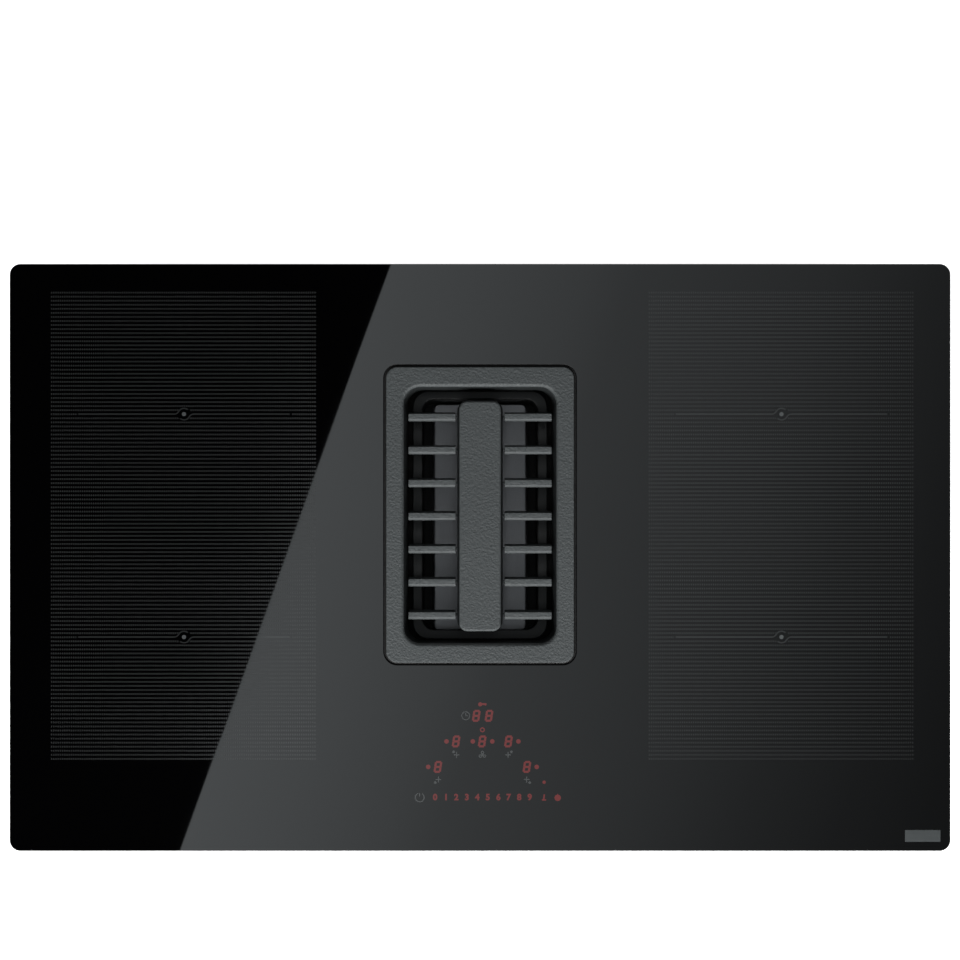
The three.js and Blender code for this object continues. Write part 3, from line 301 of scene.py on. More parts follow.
def pick_outlines(shell, first, second):
    mesh = bmesh.from_edit_mesh(shell.data)
    label = mesh.verts.layers.int["outline"]
    pick(shell, "EDGE", lambda edge: {vertex[label] for vertex in edge.verts} in ({first}, {second}))


def join(name, pieces):
    """Joins pieces into one object."""
    deselect_all()
    for piece in pieces:
        piece.select_set(True)
    bpy.context.view_layer.objects.active = pieces[0]
    if len(pieces) > 1:
        bpy.ops.object.join()
    return named(name)


def duplicate(piece):
    """A copy of the piece, with a mesh of its own."""
    make_active(piece)
    bpy.ops.object.duplicate()
    return bpy.context.object


def copy_moved(piece, move):
    copy = duplicate(piece)
    copy.location = Vector(move)
    apply_place(copy)
    return copy


def copy_mirrored(piece):
    """A copy on the other side of the middle, its faces outwards."""
    copy = duplicate(piece)
    copy.scale = (-1, 1, 1)
    apply_place(copy)
    enter_edit(copy)
    face_outwards()
    leave_edit()
    return copy


def finish_piece(piece, body, builder, slot, *replaced):
    """Shades and dresses a piece, lets it ride on its body and stands it in for CAD nodes."""
    make_active(piece)
    bpy.ops.object.shade_smooth_by_angle(angle=SMOOTH_ANGLE)
    weighting = piece.modifiers.new("flat_faces", "WEIGHTED_NORMAL")
    weighting.mode = "FACE_AREA"
    weighting.keep_sharp = True
    bpy.ops.object.modifier_apply(modifier="flat_faces")
    piece.data.materials.clear()
    piece.data.materials.append(made(builder))
    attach(piece, body)
    if replaced:
        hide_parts(*replaced)


def dress_faces(piece, builder, test):
    """Gives the faces that pass the test a second finish."""
    piece.data.materials.append(made(builder))
    for face in piece.data.polygons:
        if test(face):
            face.material_index = 1


def rounded_copy(node, bevel):
    """A CAD node's shape with its sharp edges rounded over."""
    deselect_all()
    copy = bpy.data.objects.new(node + "_finish", frame["nodes"][node].data.copy())
    bpy.context.scene.collection.objects.link(copy)
    copy.data.materials.clear()
    enter_edit(copy)
    bpy.ops.mesh.select_all(action="SELECT")
    bpy.ops.mesh.remove_doubles(threshold=1e-5)
    bpy.ops.mesh.dissolve_limited(angle_limit=FLAT_ANGLE)
    leave_edit()
    rounding = copy.modifiers.new("rounding", "BEVEL")
    rounding.width = bevel
    rounding.segments = 2
    rounding.limit_method = "ANGLE"
    rounding.angle_limit = SHARP_ANGLE
    rounding.use_clamp_overlap = True
    make_active(copy)
    bpy.ops.object.modifier_apply(modifier="rounding")
    return copy


# ---------------------------------------------------------------------------
# Materials
# ---------------------------------------------------------------------------


class Finish:
    """A node material under construction: a principled surface on object coordinates."""

    def __init__(self, name):
        self.material = bpy.data.materials.new(name)
        self.material.use_nodes = True
        self.tree = self.material.node_tree
        self.tree.nodes.clear()
        self.output = self.node("ShaderNodeOutputMaterial")
        self.surface = self.node("ShaderNodeBsdfPrincipled")
        self.place = self.node("ShaderNodeTexCoord").outputs["Object"]
        self.link(self.surface.outputs["BSDF"], self.output.inputs["Surface"])

    def node(self, kind, **settings):
        node = self.tree.nodes.new(kind)
        for key, value in settings.items():
            setattr(node, key, value)
        return node

    def link(self, source, target):
        self.tree.links.new(source, target)

    def set(self, **values):
        """Sets constants on the surface's own sockets, such as roughness=0.4."""
        for key, value in values.items():
            self.surface.inputs[key.replace("_", " ").title().replace("Ior", "IOR")].default_value = value

    def maths(self, operation, *values):
        node = self.node("ShaderNodeMath", operation=operation)
        for socket, value in zip(node.inputs, values):
            if isinstance(value, (int, float)):
                socket.default_value = value
            else:
                self.link(value, socket)
        return node.outputs[0]

    def coordinates(self):
        split = self.node("ShaderNodeSeparateXYZ")
        self.link(self.place, split.inputs[0])
        return split.outputs

    def stretched(self, x, y, z):
        """Object coordinates stretched along the axes, for brushed or grained patterns."""
        mapping = self.node("ShaderNodeMapping")
        mapping.inputs["Scale"].default_value = (x, y, z)
        self.link(self.place, mapping.inputs["Vector"])
        return mapping.outputs[0]

    def noise(self, scale, detail=3.0, roughness=0.5, vector=None):
        node = self.node("ShaderNodeTexNoise")
        for name, value in (("Scale", scale), ("Detail", detail), ("Roughness", roughness)):
            node.inputs[name].default_value = value
        self.link(vector or self.place, node.inputs["Vector"])
        return node.outputs["Fac"]

    def cells(self, scale, feature="F1"):
        node = self.node("ShaderNodeTexVoronoi", feature=feature)
        node.inputs["Scale"].default_value = scale
        self.link(self.place, node.inputs["Vector"])
        return node.outputs["Distance"]

    def range(self, value, low, high, from_low=0.0, from_high=1.0):
        node = self.node("ShaderNodeMapRange")
        ends = (("From Min", from_low), ("From Max", from_high), ("To Min", low), ("To Max", high))
        for name, number in ends:
            node.inputs[name].default_value = number
        self.link(value, node.inputs["Value"])
        return node.outputs[0]

    def mix(self, share, first, second):
        """Mixes two colours of three numbers each."""
        node = self.node("ShaderNodeMix", data_type="RGBA")
        self.link(share, node.inputs["Factor"])
        sockets = [socket for socket in node.inputs if socket.type == "RGBA"]
        for socket, colour in zip(sockets, (first, second)):
            socket.default_value = (*colour, 1.0)
        return [socket for socket in node.outputs if socket.type == "RGBA"][0]

    def colour_from(self, pattern, dark, light, start=0.3, end=0.7):
        share = self.range(pattern, 0.0, 1.0, start, end)
        self.link(self.mix(share, dark, light), self.surface.inputs["Base Color"])

    def roughness_from(self, pattern, low, high):
        self.link(self.range(pattern, low, high), self.surface.inputs["Roughness"])

    def bump(self, height, distance, strength=1.0):
        node = self.node("ShaderNodeBump")
        node.inputs["Distance"].default_value = distance
        node.inputs["Strength"].default_value = strength
        self.link(height, node.inputs["Height"])
        self.link(node.outputs[0], self.surface.inputs["Normal"])

    def grain(self, pattern, rough, depth, strength):
        """Lets one pattern set the roughness and the bump."""
        self.roughness_from(pattern, *rough)
        self.bump(pattern, depth, strength)


def scaled(colour, factor):
    return tuple(channel * factor for channel in colour)


MADE = {}


def made(builder):
    """The material of a finish: built at its first use and shared after that."""
    name = builder.__name__
    if name not in MADE:
        finish = Finish(name)
        builder(finish)
        MADE[name] = finish.material
    return MADE[name]


def stripe_mask(finish, coordinate, origin, pitch, share):
    """1 on each stripe of a repeating row, 0 between them."""
    turns = finish.maths("DIVIDE", finish.maths("SUBTRACT", coordinate, origin), pitch)
    return finish.maths("LESS_THAN", finish.maths("FRACT", turns), share)


def band_mask(finish, coordinate, middle, reach):
    """1 where a coordinate is within reach of the middle."""
    away = finish.maths("ABSOLUTE", finish.maths("SUBTRACT", coordinate, middle))
    return finish.maths("LESS_THAN", away, reach)


# Cooking zones as printed: middles of the two fields, and the two markers in each
ZONE_MIDDLES = (photo_point(183.85, 525.9), photo_point(781.6, 525.9))
# How much of a printed dot's ink each field shows
ZONE_COVER = (1.0, 0.64)
# How much of the row's and of the dot's pitch is printed
ROW_SHARE, DOT_SHARE = 0.44, 0.5
MARKERS = (
    photo_point(184.0, 414.1),
    photo_point(184.0, 637.0),
    photo_point(781.5, 414.1),
    photo_point(781.5, 637.0),
)
MARKER_LINE = 215.3 * PX
# Round a marker's spot, and in rows beside its line, no dots are printed
MARKER_CLEARING = 7.0 * PX
LINE_CLEARING = 0.62
PRINT_DEPTH = 0.0002


def ceramic_glass(finish):
    """Black glass; both cooking zones are rows of fine printed dots."""
    finish.set(ior=1.5)
    size = sizes()
    x, y, z = finish.coordinates()
    backwards = finish.maths("MULTIPLY", y, -1.0)
    fields = []
    for middle, amount in zip(ZONE_MIDDLES, ZONE_COVER):
        rows = stripe_mask(finish, backwards, -middle.y - size.zone_depth / 2, size.row_pitch, ROW_SHARE)
        dots = stripe_mask(finish, x, middle.x - size.zone_width / 2, size.dot_pitch, DOT_SHARE)
        inside_x = band_mask(finish, x, middle.x, size.zone_width / 2)
        inside_y = band_mask(finish, y, middle.y, size.zone_depth / 2)
        field = finish.maths("MULTIPLY", finish.maths("MULTIPLY", rows, dots), amount)
        field = finish.maths("MULTIPLY", field, finish.maths("MULTIPLY", inside_x, inside_y))
        fields.append(field)
    printed = finish.maths("ADD", *fields)
    for marker in MARKERS:
        up = finish.maths("SUBTRACT", y, marker.y)
        across = finish.maths("SUBTRACT", x, marker.x)
        near_row = band_mask(finish, y, marker.y, size.row_pitch * LINE_CLEARING)
        near_line = band_mask(finish, x, marker.x, MARKER_LINE / 2)
        squares = [finish.maths("MULTIPLY", away, away) for away in (up, across)]
        near_spot = finish.maths("LESS_THAN", finish.maths("ADD", *squares), MARKER_CLEARING**2)
        cleared = finish.maths("MAXIMUM", finish.maths("MULTIPLY", near_row, near_line), near_spot)
        printed = finish.maths("MULTIPLY", printed, finish.maths("SUBTRACT", 1.0, cleared))
    on_top = finish.maths("GREATER_THAN", z, GLASS_TOP - PRINT_DEPTH)
    printed = finish.maths("MULTIPLY", printed, on_top)
    ink = finish.mix(printed, tuple(colours().glass), tuple(colours().dot_ink))
    finish.link(ink, finish.surface.inputs["Base Color"])
    haze = finish.range(finish.noise(14.0, 2.0), 0.008, 0.02)
    dull = finish.maths("MULTIPLY", printed, 0.12)
    finish.link(finish.maths("ADD", haze, dull), finish.surface.inputs["Roughness"])


def ceramic_glass_edge(finish):
    """The glass's ground edge: the same black, a little duller."""
    finish.set(ior=1.5, specular_ior_level=0.3)
    grind = finish.noise(900.0)
    base = tuple(colours().glass)
    finish.colour_from(grind, scaled(base, 4.0), scaled(base, 9.0))
    finish.grain(grind, (0.3, 0.5), 0.00002, 1.0)


def grained_casting(finish, amount=1.0):
    """Cast frame and grille: a dark-grey coating with a fine leather-like grain. A share under 1 darkens
    colour and sheen as painted shade.
    """
    finish.set(ior=1.45, specular_ior_level=0.5 * amount)
    grain = finish.noise(430.0, 3.0, 0.55)
    pits = finish.cells(520.0)
    height = finish.maths("ADD", finish.maths("MULTIPLY", grain, 0.8), finish.maths("MULTIPLY", pits, 0.4))
    finish.bump(height, 0.0008, 0.8)
    base = scaled(tuple(colours().casting), amount)
    finish.colour_from(finish.noise(9.0), scaled(base, 0.95), scaled(base, 1.05))
    finish.roughness_from(grain, 0.52, 0.66)


def bare_casting(finish):
    """Painted shade: the casting darkened to a third in colour and sheen, for walls down in the well and the
    grille's side faces.
    """
    grained_casting(finish, 0.3)


def satin_black_plastic(finish):
    """Black moulded plastic with a fine spark-eroded texture."""
    finish.set(ior=1.46)
    finish.colour_from(finish.noise(20.0, 2.0), (0.0085, 0.009, 0.009), (0.012, 0.0125, 0.0125))
    finish.grain(finish.noise(1500.0), (0.42, 0.58), 0.0001, 0.4)


def matt_black_plastic(finish):
    """Black plastic of the well's duct, matt all over."""
    finish.set(ior=1.46, specular_ior_level=0.08)
    texture = finish.noise(1300.0)
    finish.colour_from(texture, (0.005, 0.005, 0.005), (0.008, 0.008, 0.008))
    finish.grain(texture, (0.7, 0.85), 0.0001, 0.4)


def moulded_grey_plastic(finish):
    """Dark-grey glass-filled plastic of the fan housing, with faint flow marks."""
    finish.set(ior=1.46)
    flow = finish.noise(7.0, 4.0, 0.6, finish.stretched(1.0, 1.0, 3.0))
    base = tuple(colours().housing)
    finish.colour_from(flow, scaled(base, 0.88), scaled(base, 1.1))
    finish.grain(finish.noise(1100.0), (0.4, 0.56), 0.00012, 0.4)


def pale_plastic(finish):
    """Off-white engineering plastic of inner carriers."""
    finish.colour_from(finish.noise(12.0, 2.0), (0.6, 0.6, 0.56), (0.68, 0.68, 0.64))
    finish.grain(finish.noise(800.0), (0.4, 0.55), 0.0001, 0.3)


def brush(finish, base, along, rough=(0.24, 0.42)):
    """Steel or aluminium brushed along one axis."""
    finish.set(metallic=1.0)
    lines = finish.noise(120.0, 4.0, 0.6, finish.stretched(*along))
    smudges = finish.noise(11.0)
    tone = finish.maths("ADD", finish.maths("MULTIPLY", lines, 0.6), finish.maths("MULTIPLY", smudges, 0.4))
    finish.colour_from(tone, scaled(base, 0.85), scaled(base, 1.1))
    finish.grain(lines, rough, 0.00006, 0.35)


def tray_steel(finish):
    brush(finish, tuple(colours().tray_steel), (30.0, 1.0, 1.0), (0.4, 0.55))


def plain_stainless(finish):
    brush(finish, (0.27, 0.275, 0.28), (1.0, 30.0, 30.0))


def mill_aluminium(finish):
    brush(finish, (0.6, 0.61, 0.62), (1.0, 25.0, 1.0), (0.3, 0.48))


def satin_plate(finish):
    brush(finish, (0.098, 0.1065, 0.108), (1.0, 30.0, 1.0), (0.4, 0.55))


def blackened_steel(finish):
    """Grease filter sheet painted near black all over: painted shade for the mesh deep in the well."""
    finish.set(metallic=0.6)
    mottle = finish.noise(180.0)
    finish.colour_from(mottle, (0.004, 0.004, 0.004), (0.008, 0.008, 0.008))
    finish.grain(mottle, (0.45, 0.65), 0.0001, 0.3)


def zinc_steel(finish):
    """Zinc-coated sheet: a soft spangle of crystals."""
    finish.set(metallic=1.0)
    finish.colour_from(finish.cells(70.0), (0.17, 0.178, 0.187), (0.25, 0.26, 0.266), 0.1, 0.9)
    finish.grain(finish.noise(400.0), (0.36, 0.52), 0.00005, 0.3)


def black_silicone(finish):
    """Silicone joint: black, slightly uneven where it was smoothed."""
    uneven = finish.noise(260.0)
    finish.colour_from(uneven, (0.002, 0.002, 0.002), (0.004, 0.004, 0.004))
    finish.grain(uneven, (0.5, 0.7), 0.0002, 0.4)


def enamelled_copper(finish):
    """Flat coil of stranded wire: fine turns side by side."""
    finish.set(metallic=1.0)
    strands = finish.noise(500.0)
    finish.colour_from(strands, (0.24, 0.085, 0.04), (0.42, 0.17, 0.08))
    finish.roughness_from(strands, 0.3, 0.45)
    finish.bump(finish.cells(160.0), 0.0004, 0.5)


def sintered_ferrite(finish):
    grain = finish.noise(700.0, 4.0)
    finish.colour_from(grain, (0.016, 0.016, 0.018), (0.03, 0.03, 0.032))
    finish.grain(grain, (0.45, 0.65), 0.0001, 0.4)


def mica_laminate(finish):
    flakes = finish.cells(240.0)
    finish.colour_from(flakes, (0.34, 0.26, 0.15), (0.5, 0.41, 0.26), 0.1, 0.8)
    finish.grain(flakes, (0.3, 0.5), 0.0001, 0.3)


def solder_mask(finish):
    tracks = finish.cells(220.0, "DISTANCE_TO_EDGE")
    finish.colour_from(tracks, (0.02, 0.13, 0.05), (0.006, 0.06, 0.022), 0.05, 0.2)
    finish.set(roughness=0.35)
    finish.bump(tracks, 0.00006, 0.4)


def screen_ink(finish, base):
    """Ink printed on the glass, as glossy as the glass."""
    finish.colour_from(finish.noise(2500.0, 2.0), scaled(base, 0.9), scaled(base, 1.1))
    finish.set(ior=1.5, roughness=0.05)


def printed_grey(finish):
    screen_ink(finish, tuple(colours().grey_ink))


def icon_grey(finish):
    screen_ink(finish, tuple(colours().icon_ink))


def pale_marker(finish):
    screen_ink(finish, (0.062, 0.066, 0.067))


def lit_red(finish):
    """Dim red light behind the glass."""
    red = tuple(colours().red_light)
    glow = finish.range(finish.noise(900.0, 2.0), 0.0, 1.0, 0.3, 0.7)
    shade = finish.mix(glow, scaled(red, 0.92), scaled(red, 1.05))
    finish.link(shade, finish.surface.inputs["Emission Color"])
    finish.set(emission_strength=1.0, roughness=0.1, base_color=(0.004, 0.001, 0.001, 1.0))


# ---------------------------------------------------------------------------
# Pieces
# ---------------------------------------------------------------------------

WELL_AT = (WELL.x, WELL.y)
# Joint between the frame and the cut-out in the glass
WELL_OPENING = 0.0022
FRAME_SIZE = FRAME_HIGH - FRAME_LOW
GRILLE_AT = ((GRILLE_LOW.x + GRILLE_HIGH.x) / 2, (GRILLE_LOW.y + GRILLE_HIGH.y) / 2)
TRAY_AT = ((TRAY_LOW.x + TRAY_HIGH.x) / 2, (TRAY_LOW.y + TRAY_HIGH.y) / 2)


class COOKTOP_OT_glass(bpy.types.Operator):
    """Lays the black glass panel with its bevelled rim and printed zones"""

    bl_idname = "cooktop.glass"
    bl_label = "Glass Panel"

    bevel: length("Bevel", "Bevel along the glass's edges", 0.0004)

    def execute(self, context):
        size = sizes()
        width, depth, _ = GLASS_HIGH - GLASS_LOW
        foot = 0.0003
        outer = [(-foot, GLASS_LOW.z), (0.0, GLASS_LOW.z + foot)]
        outer += arc(-self.bevel, GLASS_TOP - self.bevel, self.bevel, 0, 90, 3)
        outlines = around(width, depth, size.glass_corner, outer)
        rim = loft("glass_rim", outlines, closed=False, corner_steps=10)
        hole_width = FRAME_SIZE.x + 2 * WELL_OPENING
        hole_depth = FRAME_SIZE.y + 2 * WELL_OPENING
        hole = [(self.bevel, GLASS_TOP), (0.0, GLASS_TOP - self.bevel), (0.0, GLASS_LOW.z)]
        outlines = around(hole_width, hole_depth, size.frame_corner + WELL_OPENING, hole)
        well = loft("glass_well", outlines, WELL_AT, closed=False, corner_steps=10)
        panel = join("glass_panel_finish", [rim, well])
        enter_edit(panel)
        for level in (GLASS_TOP, GLASS_LOW.z):
            pick(panel, "EDGE", lambda edge: edge.is_boundary and abs(edge_middle(edge).z - level) < FLAT)
            bpy.ops.mesh.fill()
        face_outwards()
        leave_edit()
        finish_piece(panel, "cooktop", ceramic_glass, "ceramic_glass", "glass_panel")
        dress_faces(panel, ceramic_glass_edge, lambda face: face.normal.z < 0.97)
        return {"FINISHED"}


class COOKTOP_OT_frame(bpy.types.Operator):
    """Models the cast frame of the suction well with its rounded mouth"""

    bl_idname = "cooktop.frame"
    bl_label = "Well Frame"

    funnel_x: length("Funnel X", "How far each side wall leans in", 0.0028)
    funnel_front: length("Funnel Front", "How far the front wall leans in", 0.0011)
    funnel_rear: length("Funnel Rear", "How far the rear wall leans in", 0.0022)
    mouth_shift: length("Mouth Shift", "The mouth's middle behind the frame's", -0.0003)
    wall: length("Wall", "Thickness of the frame's wall in the well", 0.003)

    def execute(self, context):
        size = sizes()
        top, bottom = FRAME_HIGH.z, FRAME_LOW.z
        mouth_width = FRAME_SIZE.x - 2 * size.frame_face_x
        mouth_depth = FRAME_SIZE.y - 2 * size.frame_face_y
        edge, foot = 0.0008, 0.0005
        lip, wall = size.lip_radius, self.wall
        outer = [(0.0, GLASS_LOW.z)] + arc(-edge, top - edge, edge, 0, 90, 3)
        outlines = around(FRAME_SIZE.x, FRAME_SIZE.y, size.frame_corner, outer)
        mouth = arc(lip, top - lip, lip, 90, 180, 7)
        outlines += around(mouth_width, mouth_depth, size.mouth_corner, mouth, self.mouth_shift)
        foot_width = mouth_width - 2 * self.funnel_x
        foot_depth = mouth_depth - self.funnel_front - self.funnel_rear
        foot_shift = self.mouth_shift + (self.funnel_front - self.funnel_rear) / 2
        under = [(0.0, bottom + foot), (foot, bottom), (wall - foot, bottom), (wall, bottom + foot)]
        under.append((wall, GLASS_LOW.z))
        outlines += around(foot_width, foot_depth, size.mouth_corner, under, foot_shift)
        body = loft("inlet_frame_finish", outlines, WELL_AT)
        finish_piece(body, "cooktop", grained_casting, "textured_casting", "inlet_frame")
        # The walls below the lip take the darkened casting: painted shade.
        dress_faces(body, bare_casting, lambda face: face.center.z < top - lip and abs(face.normal.z) < 0.3)
        return {"FINISHED"}


class COOKTOP_OT_seals(bpy.types.Operator):
    """Fills the joint round the frame and lays the sealing strip under the rim"""

    bl_idname = "cooktop.seals"
    bl_label = "Seals"

    bead: length("Bead", "Width of the silicone joint", 0.0016)
    strip: length("Strip", "Width of the sealing strip", 0.008)

    def execute(self, context):
        size = sizes()
        edge = 0.0004
        low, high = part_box("well_gasket")
        bead = self.bead
        profile = [(-bead, low.z), (0.0, low.z), (0.0, high.z), (-bead / 2, high.z - edge), (-bead, high.z)]
        outlines = around(high.x - low.x, high.y - low.y, size.frame_corner + WELL_OPENING, profile)
        joint = loft("well_joint", outlines, WELL_AT)
        finish_piece(joint, "cooktop", black_silicone, "black_rubber", "well_gasket")
        low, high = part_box("rim_gasket")
        strip = self.strip
        profile = [(-strip, low.z + edge), (-strip + edge, low.z), (-edge, low.z), (0.0, low.z + edge)]
        profile += [(0.0, high.z), (-strip, high.z)]
        outlines = around(high.x - low.x, high.y - low.y, size.glass_corner, profile)
        tape = loft("rim_strip", outlines, corner_steps=5)
        finish_piece(tape, "cooktop", black_silicone, "black_rubber", "rim_gasket")
        return {"FINISHED"}


class COOKTOP_OT_grille(bpy.types.Operator):
    """Models the lift-off grille: a spine, seven pairs of fins and six feet"""

    bl_idname = "cooktop.grille"
    bl_label = "Grille"

    fin_rows: bpy.props.IntProperty(name="Fin Rows", description="Pairs of fins", default=7, min=1)
    fin_pitch: length("Fin Pitch", "Spacing of the fins", 0.029267, precision=6)
    fin_drop: length("Fin Drop", "The fins' tops below the spine's", 0.004)
    fin_height: length("Fin Height", "Height of a fin", 0.014)
    front_slope: length("Front Slope", "Bevel along a fin's front edge", 0.0023)
    rear_slope: length("Rear Slope", "Draft of a fin's rear side", 0.0017)
    fin_forward: length("Fin Forward", "How far the fins sit in front of their row", 0.0007)
    root_gap: length("Root Gap", "Groove between the spine and a fin's top", 0.0031)

    def spine(self):
        size = sizes()
        top, out = GRILLE_HIGH.z, size.spine_draft
        edge, corner, end_gap = 0.0021, 0.0075, 0.0029
        depth = GRILLE_HIGH.y - GRILLE_LOW.y - 2 * end_gap
        profile = [(0.0, top - 0.024), (out, top - 0.014), (out, top - 0.011)]
        outlines = [(size.spine_width + 2 * o, depth, corner + o, level) for o, level in profile]
        outlines += around(size.spine_width, depth, corner, arc(-edge, top - edge, edge, 0, 90, 5))
        return loft("spine", outlines, GRILLE_AT, closed=False, capped=True)

    def fin(self):
        """The right-hand fin of the middle row: a wide slope in front, a steep one behind."""
        size = sizes()
        top = GRILLE_HIGH.z - self.fin_drop
        front = GRILLE_AT[1] - size.fin_thickness / 2 - self.fin_forward
        side = size.spine_width / 2
        thickness = size.fin_thickness + self.rear_slope
        low = Vector((side + self.root_gap, front, top - self.fin_height))
        high = Vector((GRILLE_HIGH.x, front + thickness, top))

        def at_top_front(edge):
            middle = edge_middle(edge)
            return middle.z > top - NEAR and middle.y < low.y + NEAR

        def at_tip(edge):
            middle = edge_middle(edge)
            return middle.x > high.x - NEAR and middle.z > low.z + NEAR

        blank = add_block("fin", low, high)
        enter_edit(blank)
        pick(blank, "FACE", lambda face: face.normal.z > 0.9)
        narrow = size.fin_thickness / thickness
        bpy.ops.transform.resize(value=(1, narrow, 1), center_override=(low.x, low.y, top))
        pick(blank, "EDGE", at_top_front)
        round_over(self.front_slope, 3, 0.35)
        pick(blank, "EDGE", at_tip)
        round_over(0.0009, 3)
        leave_edit()
        web_low = (side - 0.004, front + 0.0028, low.z)
        web = add_block("fin_web", web_low, (low.x + 0.003, front + 0.0052, low.z + 0.003), 0.0006)
        return join("fin", [blank, web])

    def foot(self, side, y):
        """A foot on the basket's rim under the end of a fin; side is 1 at the right."""
        inner, width, depth = BASKET_HIGH.x - 0.0077, 0.007, 0.0056
        near, far = sorted((side * inner, side * (inner + width)))
        low = (near, y - depth / 2, GRILLE_LOW.z)
        high = (far, y + depth / 2, GRILLE_HIGH.z - 0.012)
        return add_block("foot", low, high, 0.0006)

    def execute(self, context):
        pieces = [self.spine()]
        right = self.fin()
        left = copy_mirrored(right)
        middle = (self.fin_rows - 1) / 2
        for row in range(self.fin_rows):
            away = (row - middle) * self.fin_pitch
            pieces += [copy_moved(fin, (0.0, away, 0.0)) for fin in (right, left)]
            if row in (0, int(middle), self.fin_rows - 1):
                pieces += [self.foot(side, GRILLE_AT[1] + away) for side in (-1, 1)]
        bpy.data.objects.remove(right)
        bpy.data.objects.remove(left)
        grille = join("grille_finish", pieces)
        finish_piece(grille, "grille", grained_casting, "textured_casting", "grille")
        # Faces turned to the sides, such as the spine's flanks, take the darkened casting: painted shade.
        dress_faces(grille, bare_casting, lambda face: abs(face.normal.x) > 0.85)
        return {"FINISHED"}


class COOKTOP_OT_basket(bpy.types.Operator):
    """Models the loose filter basket with its rolled rim, walls and ledges"""

    bl_idname = "cooktop.basket"
    bl_label = "Filter Basket"

    strip_side: length("Strip Side", "Width of the rim's strip at the sides", 0.0089)
    strip_front: length("Strip Front", "Width of the rim's front strip", 0.0087)
    strip_rear: length("Strip Rear", "Width of the rim's rear strip", 0.0075)
    rear_lean: length("Rear Lean", "How far the rear wall leans in down to the tray", 0.0020)
    front_recess: length("Front Recess", "The front wall's distance behind the strip's edge", 0.0030)
    rim_forward: length("Rim Forward", "The rim's middle in front of the well's", 0.0008)

    def execute(self, context):
        rim = BASKET_HIGH - BASKET_LOW
        top, bottom = BASKET_HIGH.z, BASKET_LOW.z
        inner_width = rim.x - 2 * self.strip_side
        inner_depth = rim.y - self.strip_front - self.strip_rear
        shift = (self.strip_front - self.strip_rear) / 2 - self.rim_forward
        wall, lip, roll, inner_roll = 0.002, 0.006, 0.0008, 0.0014
        rim_corner, inner_corner = 0.014, 0.010
        rim_under = top - 0.0025
        outer = [(0.0, rim_under)] + arc(-roll, top - roll, roll, 0, 90, 3)
        outlines = around(rim.x, rim.y, rim_corner, outer, -self.rim_forward)
        inner = arc(inner_roll, top - inner_roll, inner_roll, 90, 180, 4)
        outlines += around(inner_width, inner_depth, inner_corner, inner, shift)
        low_depth = inner_depth - self.rear_lean + self.front_recess
        low_shift = shift - (self.rear_lean + self.front_recess) / 2
        lower = [(0.0, TRAY_HIGH.z), (0.0, bottom + wall), (-lip, bottom + wall)]
        lower += [(-lip, bottom), (wall, bottom), (wall, rim_under)]
        outlines += around(inner_width, low_depth, inner_corner, lower, low_shift)
        pieces = [loft("basket_shell", outlines, WELL_AT)]
        ledge_half, ledge_reach, into_wall = 0.017, 0.008, 0.001
        ledge_top = TRAY_LOW.z - 0.0003
        for end in (-1, 1):
            y = WELL.y + low_shift + end * low_depth / 2
            near, far = sorted((y - end * ledge_reach, y + end * into_wall))
            low = (-ledge_half, near, ledge_top - wall)
            pieces.append(add_block("ledge", low, (ledge_half, far, ledge_top), 0.0005))
        basket = join("filter_basket_finish", pieces)
        finish_piece(basket, "filter", satin_black_plastic, "black_plastic", "filter_basket")
        self.catches(top)
        return {"FINISHED"}

    def catches(self, top):
        """Two round catches on the rim, each with a pin."""
        y = photo_point(0, 425.5).y
        heads = []
        for side in (-1, 1):
            x = side * (BASKET_HIGH.x - 0.0056)
            heads.append(add_disc("catch", (x, y, top - 0.0005), 0.0031, 0.0016, 0.0005, 24))
            heads.append(add_disc("catch_pin", (x, y, top + 0.0005), 0.0014, 0.0012, 0.0003, 16))
        finish_piece(join("basket_catches", heads), "filter", satin_black_plastic, "black_plastic")


class COOKTOP_OT_tray(bpy.types.Operator):
    """Models the drip tray and dresses the filter mesh under it"""

    bl_idname = "cooktop.tray"
    bl_label = "Drip Tray And Mesh"

    reach: length("Reach", "How far the tray reaches under the rim's front strip", 0.0026)
    roll: length("Roll", "Height of the tray's rolled edge", 0.0030)
    end_roll: length("End Roll", "Depth of the rolled edge at the front and the rear", 0.0013)

    def execute(self, context):
        wider, forward = 0.0016, 0.0008
        foot, roll, corner = 0.0006, self.roll, 0.006
        width = TRAY_HIGH.x - TRAY_LOW.x + wider
        depth = TRAY_HIGH.y - TRAY_LOW.y + self.reach
        outlines = around(width, depth, corner, [(-foot, TRAY_LOW.z), (0.0, TRAY_LOW.z + foot)])
        for inset, level in arc(-roll, TRAY_HIGH.z - roll, roll, 0, 90, 7):
            end_inset = inset * self.end_roll / roll
            outlines.append((width + 2 * inset, depth + 2 * end_inset, corner + inset, level))
        middle = (TRAY_AT[0], TRAY_AT[1] - forward - self.reach / 2)
        tray = loft("drip_tray_finish", outlines, middle, closed=False, capped=True)
        finish_piece(tray, "filter", tray_steel, "stainless_steel", "drip_tray")
        mesh = rounded_copy("filter_mesh", 0.0006)
        # The steel mesh is painted near black: painted shade deep in the well.
        finish_piece(mesh, "filter", blackened_steel, "stainless_steel", "filter_mesh")
        return {"FINISHED"}


